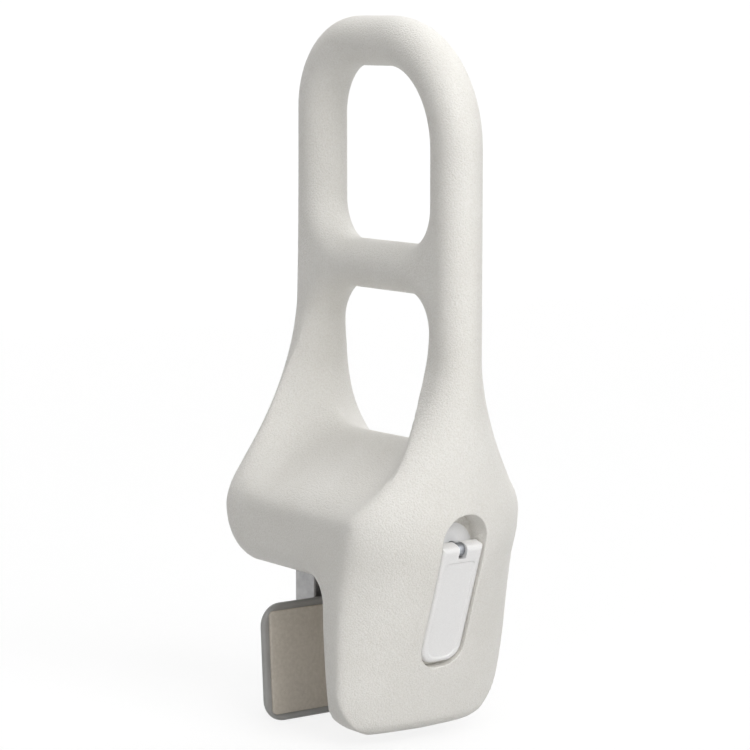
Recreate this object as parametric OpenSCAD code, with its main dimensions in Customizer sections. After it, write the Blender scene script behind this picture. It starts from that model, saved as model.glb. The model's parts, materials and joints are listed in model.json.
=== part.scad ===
// Bath safety rail that clamps on the wall of a bath tub.
// One moulded body with two handles, a cam lever in a front recess, and a jaw behind the tub wall.
// Axes: X across the rail, Y from the room side to the bath side, Z up.
// The origin is the middle of the flat seat that rests on the tub rim.

/* [Handle] */
// diameter of the grip tube
grip_d = 34; // [28:0.5:40]
// height of the handle top over the tub rim
handle_top = 381; // [330:1:430]
// height of the crossbar centre over the tub rim
bar_z = 211; // [180:1:240]
// depth of the handle loop, front line to rear line
loop_depth = 188.5; // [160:0.5:210]
// radius of the loop's front top corner
arch_front_r = 88; // [50:1:92]
// radius of the loop's rear top corner
arch_rear_r = 63; // [50:0.5:92]
// depth of the front leg, front line to window
front_leg = 35.5; // [30:0.5:40]
// radius of the upper window's front top corner
upper_front_r = 55; // [20:1:59]
// radius of the upper window's rear top corner
upper_rear_r = 33.5; // [20:0.5:59]
// radius of the upper window's lower corners
upper_low_r = 26.5; // [15:0.5:40]

/* [Lower window] */
// radius of the lower window's top corners
lower_top_r = 25.5; // [15:0.5:35]
// height of the lower window's sill over the tub rim
sill_z = 94; // [80:1:115]
// front edge of the lower window at the sill
sill_front = 42; // [36:0.5:55]
// rear edge of the lower window at the sill
sill_rear = 181; // [160:0.5:188]
// radius of the sill's front corner
sill_front_r = 27; // [15:1:40]
// radius of the sill's rear corner
sill_rear_r = 50; // [20:1:55]
// height over which the round leg turns into the sloped flank
flank_fade = 79; // [40:1:100]
// slope term of the flank below the window
flank_slope = 2; // [1:0.1:3]
// radius of the flank's front corner below the sill
flank_corner_r = 1; // [1:1:20]
// softness of the edge between flank and side
flank_soft = 8; // [2:1:20]
// softness of the ridge between flank and front
ridge_soft = 10; // [2:1:20]

/* [Saddle and pendant] */
// half the width of the body at its front
front_half_w = 72; // [55:0.5:80]
// half the width of the body at its rear
rear_half_w = 71; // [55:0.5:80]
// height where the front leg starts to widen
widen_front_z = 151.5; // [120:0.5:180]
// height where the rear leg starts to widen
widen_rear_z = 184; // [120:0.5:200]
// height where the front reaches its full width
full_front_z = 51; // [35:0.5:70]
// height where the rear reaches its full width
full_rear_z = 50; // [35:0.5:70]
// power of the widening curve
widen_power = 1.7; // [1:0.1:3]
// height of the bend where the front starts to lean
bend_z = 30.5; // [10:0.5:50]
// lean of the pendant's front, depth per height
lean = 0.325; // [0.1:0.005:0.5]
// lean of the front above the bend
front_rake = 0.027; // [0:0.001:0.08]
// height where the front's rake starts
front_rake_z = 128; // [80:1:200]
// rake of the rear line
rear_rake = 0.093; // [0:0.001:0.15]
// height where the rear's rake starts
rear_rake_z = 187; // [120:1:220]
// least wall behind the guide chamber
rear_wall = 3.6; // [2:0.1:6]
// inner face of the pendant, from the front line
inner_y = 83; // [70:0.5:100]
// lowest point of the pendant
pendant_z = -107; // [-120:0.5:-95]
// narrowing of each side towards the pendant's foot
taper = 7; // [0:0.5:12]
// height where that narrowing starts
taper_z = -13; // [-40:1:0]
// radius of the saddle's rear lower corner
rear_low_r = 41; // [20:0.5:50]
// radius of the fillet between the seat and the pendant
seat_fillet_r = 16; // [8:0.5:25]
// radius of the pendant's front lower corner
toe_front_r = 10; // [4:1:20]
// radius of the pendant's inner lower corner
toe_inner_r = 18; // [4:1:20]
// edge radius of the rear, the seat and the inner face
edge_r = 18; // [8:1:30]
// depth of the bowed front above the bend
bow_depth = 36.5; // [20:0.5:45]
// depth of the bowed front at the pendant's foot
bow_low_depth = 14.5; // [10:0.5:40]
// share by which the bow's ellipse is wider than the body
bow_over = 0.2; // [0.05:0.01:0.4]
// softness of the edge between bow and side
bow_soft = 3.5; // [1:0.5:8]
// height of the rounding at the pendant's foot
foot_r = 36; // [10:1:50]
// width of that rounding
foot_w = 31; // [10:1:45]
// mesh density of the body surface
fine = 1; // [1:1:4]

/* [Cam lever] */
// height of the pull rod's axis over the tub rim
rod_z = 25.3; // [20:0.1:35]
// pivot pin, from the front line
pin_y = 15; // [12:0.5:18]
// diameter of the pivot pin
pin_d = 5; // [4:0.5:6]
// running clearance on a radius
run_gap = 0.05; // [0.02:0.01:0.1]
// width of the lever at its head
lever_w = 33; // [26:0.5:33]
// width of the lever near its end
lever_end_w = 32.2; // [24:0.2:33]
// thickness of the lever below its head
lever_t = 7.2; // [5:0.1:9]
// reach of the lever's end from the pivot pin
lever_drop = 83; // [60:1:86]
// radius of the lever's end corners
lever_end_r = 13; // [5:0.5:14]
// distance of the lever's front face from the pin
lever_face = 6.6; // [5:0.1:7.5]
// slope of the lever's face, depth per height
lever_lean = 0.333; // [0.2:0.001:0.45]
// cam radius when the lever is shut
cam_shut_r = 7.35; // [6:0.05:9]
// pull of the cam over the lever's whole swing
cam_throw = 2.6; // [1:0.1:3]
// swing of the lever from shut to open
lever_swing = 100; // [60:5:110]
// width of the notch between the lever's two ears
notch_w = 6.4; // [5:0.1:9]
// floor of the notch below the pin
notch_drop = 5.8; // [5:0.1:9]
// depth of the inset panel in the lever's face
panel_depth = 0.6; // [0.2:0.1:1.5]

/* [Recess] */
// width of the lever recess
recess_w = 36.4; // [33:0.2:40]
// top of the lever recess over the tub rim
recess_top = 50.2; // [45:0.2:60]
// bottom of the lever recess
recess_low = -59; // [-80:1:-50]
// back wall of the recess at the rod, from the front line
recess_back = 24; // [20:0.5:30]
// height where the back wall starts to lean
recess_knee_z = 6; // [0:1:12]
// half the width of the opening behind the cam washer
port_half_w = 11; // [8:0.5:13]
// half the height of that opening
port_half_h = 17.8; // [12:0.2:18]
// depth of that opening
port_depth = 14; // [6:1:30]
// radius of the cam washer
washer_r = 17.2; // [15:0.1:17.8]
// thickness of the cam washer
washer_t = 1.6; // [1:0.1:3]

/* [Pull rod and guide] */
// diameter of the pull rod
rod_d = 8; // [6:1:10]
// length of the pull rod behind the arm's web
rod_over = 7.2; // [6:0.2:8]
// thickness of the flattened eye
eye_t = 5.6; // [4:0.1:6]
// radius of the eye
eye_r = 4.6; // [4:0.1:6]
// front wall of the guide chamber, from the front line
chamber_front = 118; // [110:1:125]
// room in the guide chamber behind the arm's web
arm_room = 10.8; // [9:0.2:12]
// half the width of the guide chamber
chamber_half_w = 21.2; // [20:0.1:26]
// ceiling of the guide chamber over the tub rim
chamber_top = 52; // [46:1:60]
// thickness of the guide channel's sheet
guide_t = 1.5; // [1:0.1:2.5]
// diameter of the screws in the guide channel
screw_d = 4; // [3:0.5:5]

/* [Jaw] */
// outer width of the jaw arm
arm_w = 30.4; // [26:0.2:34]
// front edge of the arm's flanges, from the front line
arm_front = 162.6; // [150:0.2:165]
// rear face of the arm's web, from the front line
arm_rear = 187.2; // [178:0.2:188]
// thickness of the arm's sheet
arm_t = 1.6; // [1:0.1:2.5]
// top of the arm over the tub rim
arm_top = 44; // [38:1:46]
// lower end of the arm
arm_low = -106; // [-112:1:-90]
// height of the glide shoe over the arm's top
shoe_over = 3.8; // [2:0.1:5]
// hold of the glide shoe on the arm
shoe_hold = 9.5; // [6:0.5:15]
// side play of the glide shoe in its channel
shoe_play = 0.3; // [0.1:0.05:0.6]
// width of the jaw plate
plate_w = 124; // [100:1:136]
// height of the jaw plate
plate_h = 84; // [70:1:95]
// corner radius of the jaw plate
plate_r = 16; // [8:1:25]
// depth of the jaw plate's folded rim
plate_depth = 4.2; // [3:0.2:9]
// thickness of the jaw plate's sheet
plate_t = 1.6; // [1:0.1:2.5]
// middle of the jaw plate over the tub rim
plate_z = -72; // [-80:1:-60]
// toe-in of the jaw plate in degrees
toe_in = 3.5; // [0:0.5:8]
// width of the jaw pad
pad_w = 115; // [90:1:130]
// height of the jaw pad
pad_h = 73.5; // [60:0.5:90]
// thickness of the pads
pad_t = 2.3; // [1.5:0.1:4]
// corner radius of the pads
pad_r = 3.5; // [1:0.5:10]

/* [Hidden] */
seat_y = 108.5;
r = grip_d / 2;
eps = 0.01;
$fn = 48;
toe_slope = tan(toe_in);
rod_end = arm_rear + rod_over;
chamber_rear = arm_rear + arm_room;

// Small helpers

function clamp(v, lo, hi) = min(max(v, lo), hi);

function mix(a, b, t) = a + (b - a) * t;

// smooth minimum of a and b that blends over the width k
function smin(a, b, k) = let (h = clamp(0.5 + 0.5 * (b - a) / k, 0, 1)) b + (a - b) * h - k * h * (1 - h);

function ease(t) = let (c = clamp(t, 0, 1)) c * c * (3 - 2 * c);

// a straight ramp with a rounded foot of size k
function ramp(t, k) = (t + sqrt(t * t + k * k)) / 2;

// edge profile: 0 at the edge, 1 where the flat starts
function edge(s) = sqrt(1 - pow(1 - clamp(s, 0, 1), 2));

function hyp(a, b) = sqrt(a * a + b * b);

function sum(v, i = 0) = i < len(v) ? v[i] + sum(v, i + 1) : 0;

// signed distance from a rectangle with four corner radii, negative inside
function rbox(y, z, y0, y1, z0, z1, r_tf, r_tr, r_bf, r_br) =
    let (
        py = y - (y0 + y1) / 2,
        pz = z - (z0 + z1) / 2,
        c = py > 0 ? (pz > 0 ? r_tr : r_br) : (pz > 0 ? r_tf : r_bf),
        qy = abs(py) - (y1 - y0) / 2 + c,
        qz = abs(pz) - (z1 - z0) / 2 + c
    )
    min(max(qy, qz), 0) + hyp(max(qy, 0), max(qz, 0)) - c;

function arc(cy, cz, rad, a0, a1, n) =
    [for (i = [0:n]) let (a = mix(a0, a1, i / n)) [cy + rad * cos(a), cz + rad * sin(a)]];

function run(p0, p1, n, pw = 1) = [for (i = [0:n]) let (t = pow(i / n, pw)) p0 + (p1 - p0) * t];

function back(v) = [for (i = [len(v) - 1:-1:0]) v[i]];

// joins point runs whose ends meet
function join(parts) =
    [for (p = [0:len(parts) - 1]) for (i = [p == 0 ? 0 : 1:len(parts[p]) - 1]) parts[p][i]];

// a patch between four edge curves that meet at their ends
function coons(top, low, left, right) =
    let (m = len(left) - 1, n = len(top) - 1)
    [for (i = [0:n]) let (u = i / n) [for (j = [0:m]) let (t = j / m)
        mix(top[i], low[i], t) + mix(left[j], right[j], u)
        - mix(mix(top[0], top[n], u), mix(low[0], low[n], u), t)]];

// corner fillets on a closed outline of [y, z, radius] rows
function fillet(pts, seg = 8) =
    let (n = len(pts))
    [for (i = [0:n - 1])
        let (
            p = [pts[i][0], pts[i][1]],
            a = [pts[(i + n - 1) % n][0], pts[(i + n - 1) % n][1]] - p,
            b = [pts[(i + 1) % n][0], pts[(i + 1) % n][1]] - p,
            ua = a / norm(a),
            ub = b / norm(b),
            half = acos(clamp(ua * ub, -1, 1)) / 2,
            rad = pts[i][2],
            c = p + (ua + ub) / norm(ua + ub) * rad / sin(half),
            p0 = p + ua * rad / tan(half),
            p1 = p + ub * rad / tan(half),
            a0 = atan2(p0[1] - c[1], p0[0] - c[0]),
            d = atan2(p1[1] - c[1], p1[0] - c[0]) - a0,
            turn = d > 180 ? d - 360 : d < -180 ? d + 360 : d
        )
        each rad > 0 ? [for (k = [0:seg]) let (a = a0 + turn * k / seg) c + rad * [cos(a), sin(a)]] : [p]];

// The body: half thickness over the side view

function front(z) = front_rake * ramp(front_rake_z - z, 30) + lean * ramp(bend_z - z, 14);

// the rear leans out far enough to cover the guide chamber
rear_slope = max(rear_rake, (chamber_rear + rear_wall - loop_depth) / ramp(rear_rake_z - chamber_top, 60));

function rear(z) = loop_depth + rear_slope * ramp(rear_rake_z - z, 60);

// the front line with the toe's arc at its foot
function toe_line(z) =
    let (t = clamp((pendant_z + toe_front_r - z) / toe_front_r, 0, 1))
    front(z) + toe_front_r * (1 - sqrt(1 - t * t));

function window_shift(z) = pow(clamp((bar_z - r - z) / (bar_z - r - sill_z), 0, 1.3), 1.5);

function window_front(z) = mix(front_leg, sill_front, window_shift(z));

function window_rear(z) = mix(loop_depth - 2 * r, sill_rear, window_shift(z));

// distance inside the outline of loop, saddle and pendant
function inside(y, z) =
    let (
        ds = -rbox(y, z, front(z), rear(z), 0, handle_top, arch_front_r, arch_rear_r, 0, rear_low_r),
        dp = -rbox(y, z, front(z), inner_y, pendant_z, 80, 0, 0, toe_front_r, toe_inner_r),
        f = seat_fillet_r
    )
    hyp(max(f + ds, 0), max(f + dp, 0)) - max(f, min(-ds, -dp));

// half width of the body before its edges are rounded
function width(y, z) =
    let (
        u = clamp(y / loop_depth, 0, 1),
        full = mix(full_front_z, full_rear_z, u),
        q = (z - full) / (mix(widen_front_z, widen_rear_z, u) - full),
        low = clamp((taper_z - z) / (taper_z - pendant_z), 0, 1),
        hw = mix(front_half_w, rear_half_w, u) - taper * low * low
    )
    smin(r + (hw - r) * pow(max(1 - q, 0), widen_power), hw, flank_soft);

// distances outside the two windows
function upper_gap(y, z) =
    rbox(y, z, front_leg, loop_depth - 2 * r, bar_z + r, handle_top - 2 * r,
        upper_front_r, upper_rear_r, upper_low_r, upper_low_r);

function lower_gap(y, z, low_front_r) =
    rbox(y, z, window_front(z), window_rear(z), sill_z, bar_z - r,
        lower_top_r, lower_top_r, low_front_r, sill_rear_r);

function half(y, z) =
    let (
        w = width(y, z),
        f = clamp((w - r) / (front_half_w - r), 0, 1),
        low = ease((bend_z - z) / (bend_z - pendant_z)),
        cut = mix(w, edge_r, ease(f * 1.3)),
        e_c = w - cut + cut * edge(inside(y, z) / mix(r, edge_r, f)),
        df = (y - toe_line(z)) * (1 - 0.05 * ease((bend_z - z) / 20)),
        over = 1 + bow_over * f * f,
        reach = mix(r, mix(bow_depth, bow_low_depth, low), f) / (1 - sqrt(1 - 1 / (over * over))),
        h = smin(e_c, w * over * edge(df / reach), bow_soft * f + eps),
        du = upper_gap(y, z),
        dl = lower_gap(y, z, sill_front_r),
        v = ease((sill_z + flank_fade - z) / flank_fade),
        d = max(dl, 0),
        d_s = max(lower_gap(y, z, flank_corner_r), 0),
        e_l = sqrt((1 - v) * pow(w * edge(dl / r), 2) + v * (2 * r * d + flank_slope * d_s * d_s)),
        h1 = z > bar_z ? min(h, r * edge(du / r)) : smin(h, e_l, ridge_soft * f * v + eps)
    )
    max(min(h1, w - foot_w + foot_w * edge((z - pendant_z) / foot_r)), 0);

// The grid of the body surface in the side view

n_cor = 5 * fine;
n_side = 5 * fine;
n_turn = 10 * fine;
n_span = 8 * fine;
n_roof = 2 * fine;
n_ring = 8 * fine;
n_bar = 2 * n_cor + n_span;
lw_y0 = front_leg;
lw_y1 = loop_depth - 2 * r;
join_z = sill_z - 14;

function on_front(z0, z1, n) = [for (i = [0:n]) let (z = mix(z0, z1, i / n)) [front(z), z]];

function on_rear(z0, z1, n) = [for (i = [0:n]) let (z = mix(z0, z1, i / n)) [rear(z), z]];

// an arc that follows the front line, the rear line or a window side
function bend(v, side) = [for (p = v) [p[0] + (side == 0 ? front(p[1]) : rear(p[1]) - loop_depth), p[1]]];

bar_line = join([
    run([rear(bar_z), bar_z], [lw_y1 - upper_low_r, bar_z], n_cor, 2.4),
    run([lw_y1 - upper_low_r, bar_z], [lw_y0 + upper_low_r, bar_z], n_span),
    back(run([front(bar_z), bar_z], [lw_y0 + upper_low_r, bar_z], n_cor, 2.4))
]);

up_z0 = bar_z + r;
up_z1 = handle_top - 2 * r;
upper_in = join([
    arc(lw_y0 + upper_low_r, up_z0 + upper_low_r, upper_low_r, 225, 180, n_cor),
    run([lw_y0, up_z0 + upper_low_r], [lw_y0, up_z1 - upper_front_r], n_side),
    arc(lw_y0 + upper_front_r, up_z1 - upper_front_r, upper_front_r, 180, 90, n_turn),
    run([lw_y0 + upper_front_r, up_z1], [lw_y1 - upper_rear_r, up_z1], n_roof),
    arc(lw_y1 - upper_rear_r, up_z1 - upper_rear_r, upper_rear_r, 90, 0, n_turn),
    run([lw_y1, up_z1 - upper_rear_r], [lw_y1, up_z0 + upper_low_r], n_side),
    arc(lw_y1 - upper_low_r, up_z0 + upper_low_r, upper_low_r, 0, -45, n_cor),
    arc(lw_y1 - upper_low_r, up_z0 + upper_low_r, upper_low_r, -45, -90, n_cor),
    run([lw_y1 - upper_low_r, up_z0], [lw_y0 + upper_low_r, up_z0], n_span),
    arc(lw_y0 + upper_low_r, up_z0 + upper_low_r, upper_low_r, 270, 225, n_cor)
]);
upper_out = join([
    on_front(bar_z, up_z0 + upper_low_r, n_cor),
    on_front(up_z0 + upper_low_r, handle_top - arch_front_r, n_side),
    bend(arc(arch_front_r, handle_top - arch_front_r, arch_front_r, 180, 90, n_turn), 0),
    run([arch_front_r + front(handle_top), handle_top], [rear(handle_top) - arch_rear_r, handle_top], n_roof),
    bend(arc(loop_depth - arch_rear_r, handle_top - arch_rear_r, arch_rear_r, 90, 0, n_turn), 1),
    on_rear(handle_top - arch_rear_r, up_z0 + upper_low_r, n_side),
    on_rear(up_z0 + upper_low_r, bar_z, n_cor),
    bar_line
]);

low_z1 = bar_z - r;
lower_raw = join([
    arc(lw_y0 + lower_top_r, low_z1 - lower_top_r, lower_top_r, 135, 180, n_cor),
    run([lw_y0, low_z1 - lower_top_r], [lw_y0, sill_z + sill_front_r], n_side),
    arc(lw_y0 + sill_front_r, sill_z + sill_front_r, sill_front_r, 180, 225, n_cor),
    arc(lw_y0 + sill_front_r, sill_z + sill_front_r, sill_front_r, 225, 270, n_cor),
    run([lw_y0 + sill_front_r, sill_z], [lw_y1 - sill_rear_r, sill_z], n_span),
    arc(lw_y1 - sill_rear_r, sill_z + sill_rear_r, sill_rear_r, 270, 315, n_cor),
    arc(lw_y1 - sill_rear_r, sill_z + sill_rear_r, sill_rear_r, 315, 360, n_cor),
    run([lw_y1, sill_z + sill_rear_r], [lw_y1, low_z1 - lower_top_r], n_side),
    arc(lw_y1 - lower_top_r, low_z1 - lower_top_r, lower_top_r, 0, 45, n_cor),
    arc(lw_y1 - lower_top_r, low_z1 - lower_top_r, lower_top_r, 45, 90, n_cor),
    run([lw_y1 - lower_top_r, low_z1], [lw_y0 + lower_top_r, low_z1], n_span),
    arc(lw_y0 + lower_top_r, low_z1 - lower_top_r, lower_top_r, 90, 135, n_cor)
]);
lower_in = [for (p = lower_raw) [
    p[0] < (lw_y0 + lw_y1) / 2 ? p[0] + window_front(p[1]) - lw_y0 : p[0] + window_rear(p[1]) - lw_y1,
    p[1]
]];
join_line = join([
    run([front(join_z), join_z], [60, join_z], n_cor, 2.3),
    run([60, join_z], [136, join_z], n_span),
    back(run([rear(join_z), join_z], [136, join_z], n_cor, 1.6))
]);
back_line = join([
    on_rear(join_z, sill_z + sill_rear_r, n_cor),
    on_rear(sill_z + sill_rear_r, low_z1 - lower_top_r, n_side),
    on_rear(low_z1 - lower_top_r, bar_z, n_cor)
]);
lower_out = join([
    on_front(bar_z, low_z1 - lower_top_r, n_cor),
    on_front(low_z1 - lower_top_r, sill_z + sill_front_r, n_side),
    on_front(sill_z + sill_front_r, join_z, n_cor),
    join_line,
    back_line,
    bar_line
]);

// share of a one-sided section at each step round a ring, spread over two steps each way
function spread(w, i) =
    let (n = len(w) - 1, s = 2 * fine)
    sum([for (k = [-s:s]) w[(i + k + 2 * n) % n]]) / (2 * s + 1);

function ring(inner, outer, w) = [for (i = [0:len(inner) - 1]) let (v = spread(w, i))
    [for (j = [0:n_ring]) let (a = 180 * j / n_ring, t = mix((1 - cos(a)) / 2, 1 - cos(a / 2), v))
        mix(inner[i], outer[i], t)]];

n_low = 2 * n_cor + n_side;
upper_w = [for (i = [0:len(upper_in) - 1]) i >= len(upper_in) - 1 - n_bar ? 1 : 0];
lower_w = [for (i = [0:len(lower_in) - 1])
    i >= len(lower_in) - 1 - n_bar || (i >= n_low && i <= n_low + n_bar) ? 1 : 0];

// saddle: from the join line down to the seat; pendant: from the seat line down
n_in = 6 * fine;
n_fil = 2 * fine;
n_arc = 3 * fine;
n_sad = 9 * fine;
n_pen = 13 * fine;
fil_z = -seat_fillet_r * (1 - sqrt(0.5));
fil_y = inner_y - fil_z;
seat_line = run([front(fil_z), fil_z], [fil_y, fil_z], n_in, 1.6);
rear_arc = bend(arc(loop_depth - rear_low_r, rear_low_r, rear_low_r, -90, -45, n_arc), 1);
seat_edge = join([
    seat_line,
    arc(inner_y + seat_fillet_r, -seat_fillet_r, seat_fillet_r, 135, 90, n_fil),
    run([inner_y + seat_fillet_r, 0], rear_arc[0], n_bar - n_in - n_fil - n_arc),
    rear_arc
]);
rear_edge = join([
    on_rear(join_z, rear_low_r, n_sad - n_arc),
    bend(arc(loop_depth - rear_low_r, rear_low_r, rear_low_r, 0, -45, n_arc), 1)
]);
saddle_grid = coons(join_line, seat_edge, on_front(join_z, fil_z, n_sad), rear_edge);

toe_arc = bend(arc(toe_front_r, pendant_z + toe_front_r, toe_front_r, 180, 225, 2 * fine), 0);
heel_y = inner_y - toe_inner_r;
heel_z = pendant_z + toe_inner_r;
front_edge = join([on_front(fil_z, pendant_z + toe_front_r, n_pen - 2 * fine), toe_arc]);
inner_edge = join([
    arc(inner_y + seat_fillet_r, -seat_fillet_r, seat_fillet_r, 135, 180, 2 * fine),
    run([inner_y, -seat_fillet_r], [inner_y, heel_z], n_pen - 4 * fine),
    arc(heel_y, heel_z, toe_inner_r, 0, -45, 2 * fine)
]);
toe_end = bend(arc(toe_front_r, pendant_z + toe_front_r, toe_front_r, 225, 270, fine), 0);
foot_edge = join([
    toe_end,
    run(toe_end[fine], [heel_y, pendant_z], n_in - 3 * fine),
    arc(heel_y, heel_z, toe_inner_r, -90, -45, 2 * fine)
]);
pendant_grid = coons(seat_line, foot_edge, front_edge, inner_edge);

function tidy(v) = round(v * 10000) / 10000;

function at_front(p) = abs(p[0] - toe_line(p[1])) < 0.000001;

function at_rear(p) = abs(p[0] - rear(p[1])) < 0.000001;

// thickness at a grid point, held at zero where the two halves meet
function lift(p, shut) =
    let (h = half(p[0], p[1]))
    shut || at_front(p) || (at_rear(p) && h < 0.6) ? 0 : h;

// points of one side of a grid
function skin(grid, side, kind) = [for (i = [0:len(grid) - 1]) for (j = [0:len(grid[i]) - 1])
    let (
        p = grid[i][j],
        rim = kind > 0 && j == 0,
        outer = kind == 2 && j == len(grid[i]) - 1 && abs(p[1] - bar_z) > 0.000001
    )
    [tidy(side * lift(p, rim || outer)), tidy(p[0]), tidy(p[1])]];

// two triangles for each cell of a grid whose rows have b points, split where the cell stands out more
function cells(v, b, n0, flip) = [for (i = [0:b:len(v) - b - 1]) for (j = [0:b - 2])
    let (p = i + j, q = p + b, turn = v[p + 1][0] + v[q][0] > v[p][0] + v[q + 1][0])
    let (c = [for (k = turn ? [p + 1, q + 1, q, p] : [p, p + 1, q + 1, q]) k + n0])
    each flip ? [[c[0], c[1], c[2]], [c[0], c[2], c[3]]] : [[c[0], c[2], c[1]], [c[0], c[3], c[2]]]];

// points and cells of the flat wall between the two sides, along an edge line
function wall_pts(v) = [for (p = v) let (h = lift(p, false)) each [
    [tidy(h), tidy(p[0]), tidy(p[1])], [0, tidy(p[0]), tidy(p[1])], [-tidy(h), tidy(p[0]), tidy(p[1])]]];

function wall_cells(v, n0, flip) = [for (i = [0:len(v) - 2])
    let (h0 = lift(v[i], false), h1 = lift(v[i + 1], false), p = n0 + 3 * i, q = p + 3)
    if (h0 + h1 > 0.0001)
        each flip ? [[p, p + 1, q + 1], [p, q + 1, q], [p + 1, p + 2, q + 2], [p + 1, q + 2, q + 1]]
                  : [[p, q + 1, p + 1], [p, q, q + 1], [p + 1, q + 2, p + 2], [p + 1, q + 1, q + 2]]];

module moulding() {
    upper = ring(upper_in, upper_out, upper_w);
    lower = ring(lower_in, lower_out, lower_w);
    grids = [[upper, 2, 1], [lower, 1, 0], [saddle_grid, 0, 0], [pendant_grid, 0, 0]];
    seat_wall = [for (i = [n_in:len(seat_edge) - 1]) seat_edge[i]];
    foot_wall = join([toe_arc, foot_edge]);
    walls = [[seat_wall, false], [rear_edge, true], [back_line, false], [inner_edge, true], [foot_wall, false]];
    sizes = [for (g = grids) for (s = [0, 1]) len(g[0]) * len(g[0][0])];
    starts = [for (i = [0:8]) i == 0 ? 0 : sum([for (k = [0:i - 1]) sizes[k]])];
    wall_sizes = [for (w = walls) 3 * len(w[0])];
    wall_starts = [for (i = [0:len(walls) - 1])
        starts[8] + (i == 0 ? 0 : sum([for (k = [0:i - 1]) wall_sizes[k]]))];
    polyhedron(
        points = [
            for (g = grids) for (s = [1, -1]) each skin(g[0], s, g[1]),
            for (w = walls) each wall_pts(w[0])
        ],
        faces = [
            for (k = [0:3]) for (s = [0, 1])
                each cells(skin(grids[k][0], 1, grids[k][1]), len(grids[k][0][0]), starts[2 * k + s],
                    s != grids[k][2]),
            for (k = [0:len(walls) - 1]) each wall_cells(walls[k][0], wall_starts[k], walls[k][1])
        ],
        convexity = 8
    );
}

// Shared fits and places

rod_r = rod_d / 2;
pin_r = pin_d / 2;
tilt = atan(lever_lean);
bush_r = rod_r + 2.5;
bush_len = 20;
bush_y = recess_back + port_depth;
guide_y0 = chamber_front + 1;
guide_y1 = chamber_rear - 2;
guide_half = chamber_half_w - 0.1;
guide_in = guide_half - guide_t;
guide_top = chamber_top - 0.1;
screw_x = 12;
screw_spots = [for (x = [-screw_x, screw_x]) for (y = [guide_y0 + 12, guide_y1 - 12]) [x, y]];
screw_len = 12;
head_h = 2;
insert_r = 5.5;
flange_r = 8.5;
flange_t = 1.5;
nut_t = 4;
plate_top = plate_z + plate_h / 2;
rim_back = plate_depth - plate_t;
plane_y = arm_front - rim_back - 0.1;
plate_y = plane_y - toe_slope * (plate_top - plate_z);
ear_w = 15;
ear_h = 60;
rivet_x = arm_w / 2 + 8;
rivet_z = 20;
rivet_r = 2.4;
wall_pad_w = 96;
wall_pad_h = 66;
wall_pad_z = (pendant_z - seat_fillet_r + 8) / 2;

// turns a shape drawn with its height along Z so that it runs along Y
module along_y(y0) {
    translate([0, y0, rod_z])
        rotate([-90, 0, 0])
            children();
}

module rod_hole(y0, y1, rad) {
    along_y(y0)
        cylinder(r = rad, h = y1 - y0);
}

module round_rect(w, h, rad) {
    square([w - 2 * rad, h], center = true);
    square([w, h - 2 * rad], center = true);
    for (x = [-1, 1])
        for (y = [-1, 1])
            translate([x * (w / 2 - rad), y * (h / 2 - rad)])
                circle(r = rad);
}

// outline of a soft edge: flat of thickness t that ends at len with the radius e
module rim_profile(len, t, e) {
    square([len, t - e]);
    square([len - e, t]);
    translate([len - e, t - e])
        circle(r = e);
}

// rounded plate on Z = 0 whose upper edge is softened
module soft_plate(w, h, rad, t, e) {
    for (x = [-1, 1])
        for (y = [-1, 1])
            translate([x * (w / 2 - rad), y * (h / 2 - rad), 0])
                rotate_extrude()
                    intersection() {
                        rim_profile(rad, t, e);
                        square([rad, t]);
                    }
    for (a = [0, 180])
        rotate([0, 0, a]) {
            translate([w / 2 - rad, h / 2 - rad, 0])
                rotate([90, 0, 0])
                    linear_extrude(h - 2 * rad)
                        rim_profile(rad, t, e);
            translate([-(w / 2 - rad), h / 2 - rad, 0])
                rotate([90, 0, 90])
                    linear_extrude(w - 2 * rad)
                        rim_profile(rad, t, e);
        }
    translate([0, 0, t / 2])
        cube([w - 2 * rad, h - 2 * rad, t], center = true);
}

// moves a piece from the front line's frame to the seat's
module on_seat() {
    translate([0, -seat_y, 0])
        children();
}

// Body pieces

module recess_outline() {
    w = recess_w / 2;
    low_r = 15;
    top_z = recess_top - w;
    low_z = recess_low + low_r;
    translate([0, top_z])
        circle(r = w);
    translate([-w, low_z])
        square([2 * w, top_z - low_z]);
    for (x = [-1, 1])
        translate([x * (w - low_r), low_z])
            circle(r = low_r);
    translate([-(w - low_r), recess_low])
        square([2 * (w - low_r), low_r]);
}

module recess_cut() {
    intersection() {
        translate([0, 70, 0])
            rotate([90, 0, 0])
                linear_extrude(110)
                    recess_outline();
        translate([-40, 0, 0])
            rotate([90, 0, 90])
                linear_extrude(80)
                    polygon([
                        [-30, 90],
                        [recess_back, 90],
                        [recess_back, recess_knee_z],
                        [recess_back + lever_lean * (recess_knee_z + 90), -90],
                        [-30, -90]
                    ]);
    }
}

module port_cut() {
    d = port_half_h - port_half_w;
    translate([0, bush_y, rod_z])
        rotate([90, 0, 0])
            linear_extrude(port_depth + 1) {
                for (z = [-d, d])
                    translate([0, z])
                        circle(r = port_half_w);
                square([2 * port_half_w, 2 * d], center = true);
            }
}

module body() {
    color([0.94, 0.92, 0.87])
        on_seat()
            difference() {
                moulding();
                recess_cut();
                port_cut();
                rod_hole(bush_y - 1, bush_y + bush_len, bush_r);
                rod_hole(bush_y + bush_len - 1, chamber_front + 1, rod_r + 2);
                translate([-chamber_half_w, chamber_front, -30])
                    cube([2 * chamber_half_w, chamber_rear - chamber_front, chamber_top + 30]);
                for (p = screw_spots)
                    translate([p[0], p[1], chamber_top - 1])
                        cylinder(d = screw_d, h = screw_len + 1);
            }
}

// Fixed pieces

module inner_pad() {
    color([0.55, 0.53, 0.5])
        on_seat()
            translate([0, inner_y, wall_pad_z])
                rotate([-90, 0, 0])
                    soft_plate(wall_pad_w, wall_pad_h, pad_r, pad_t, 0.6);
}

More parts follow.
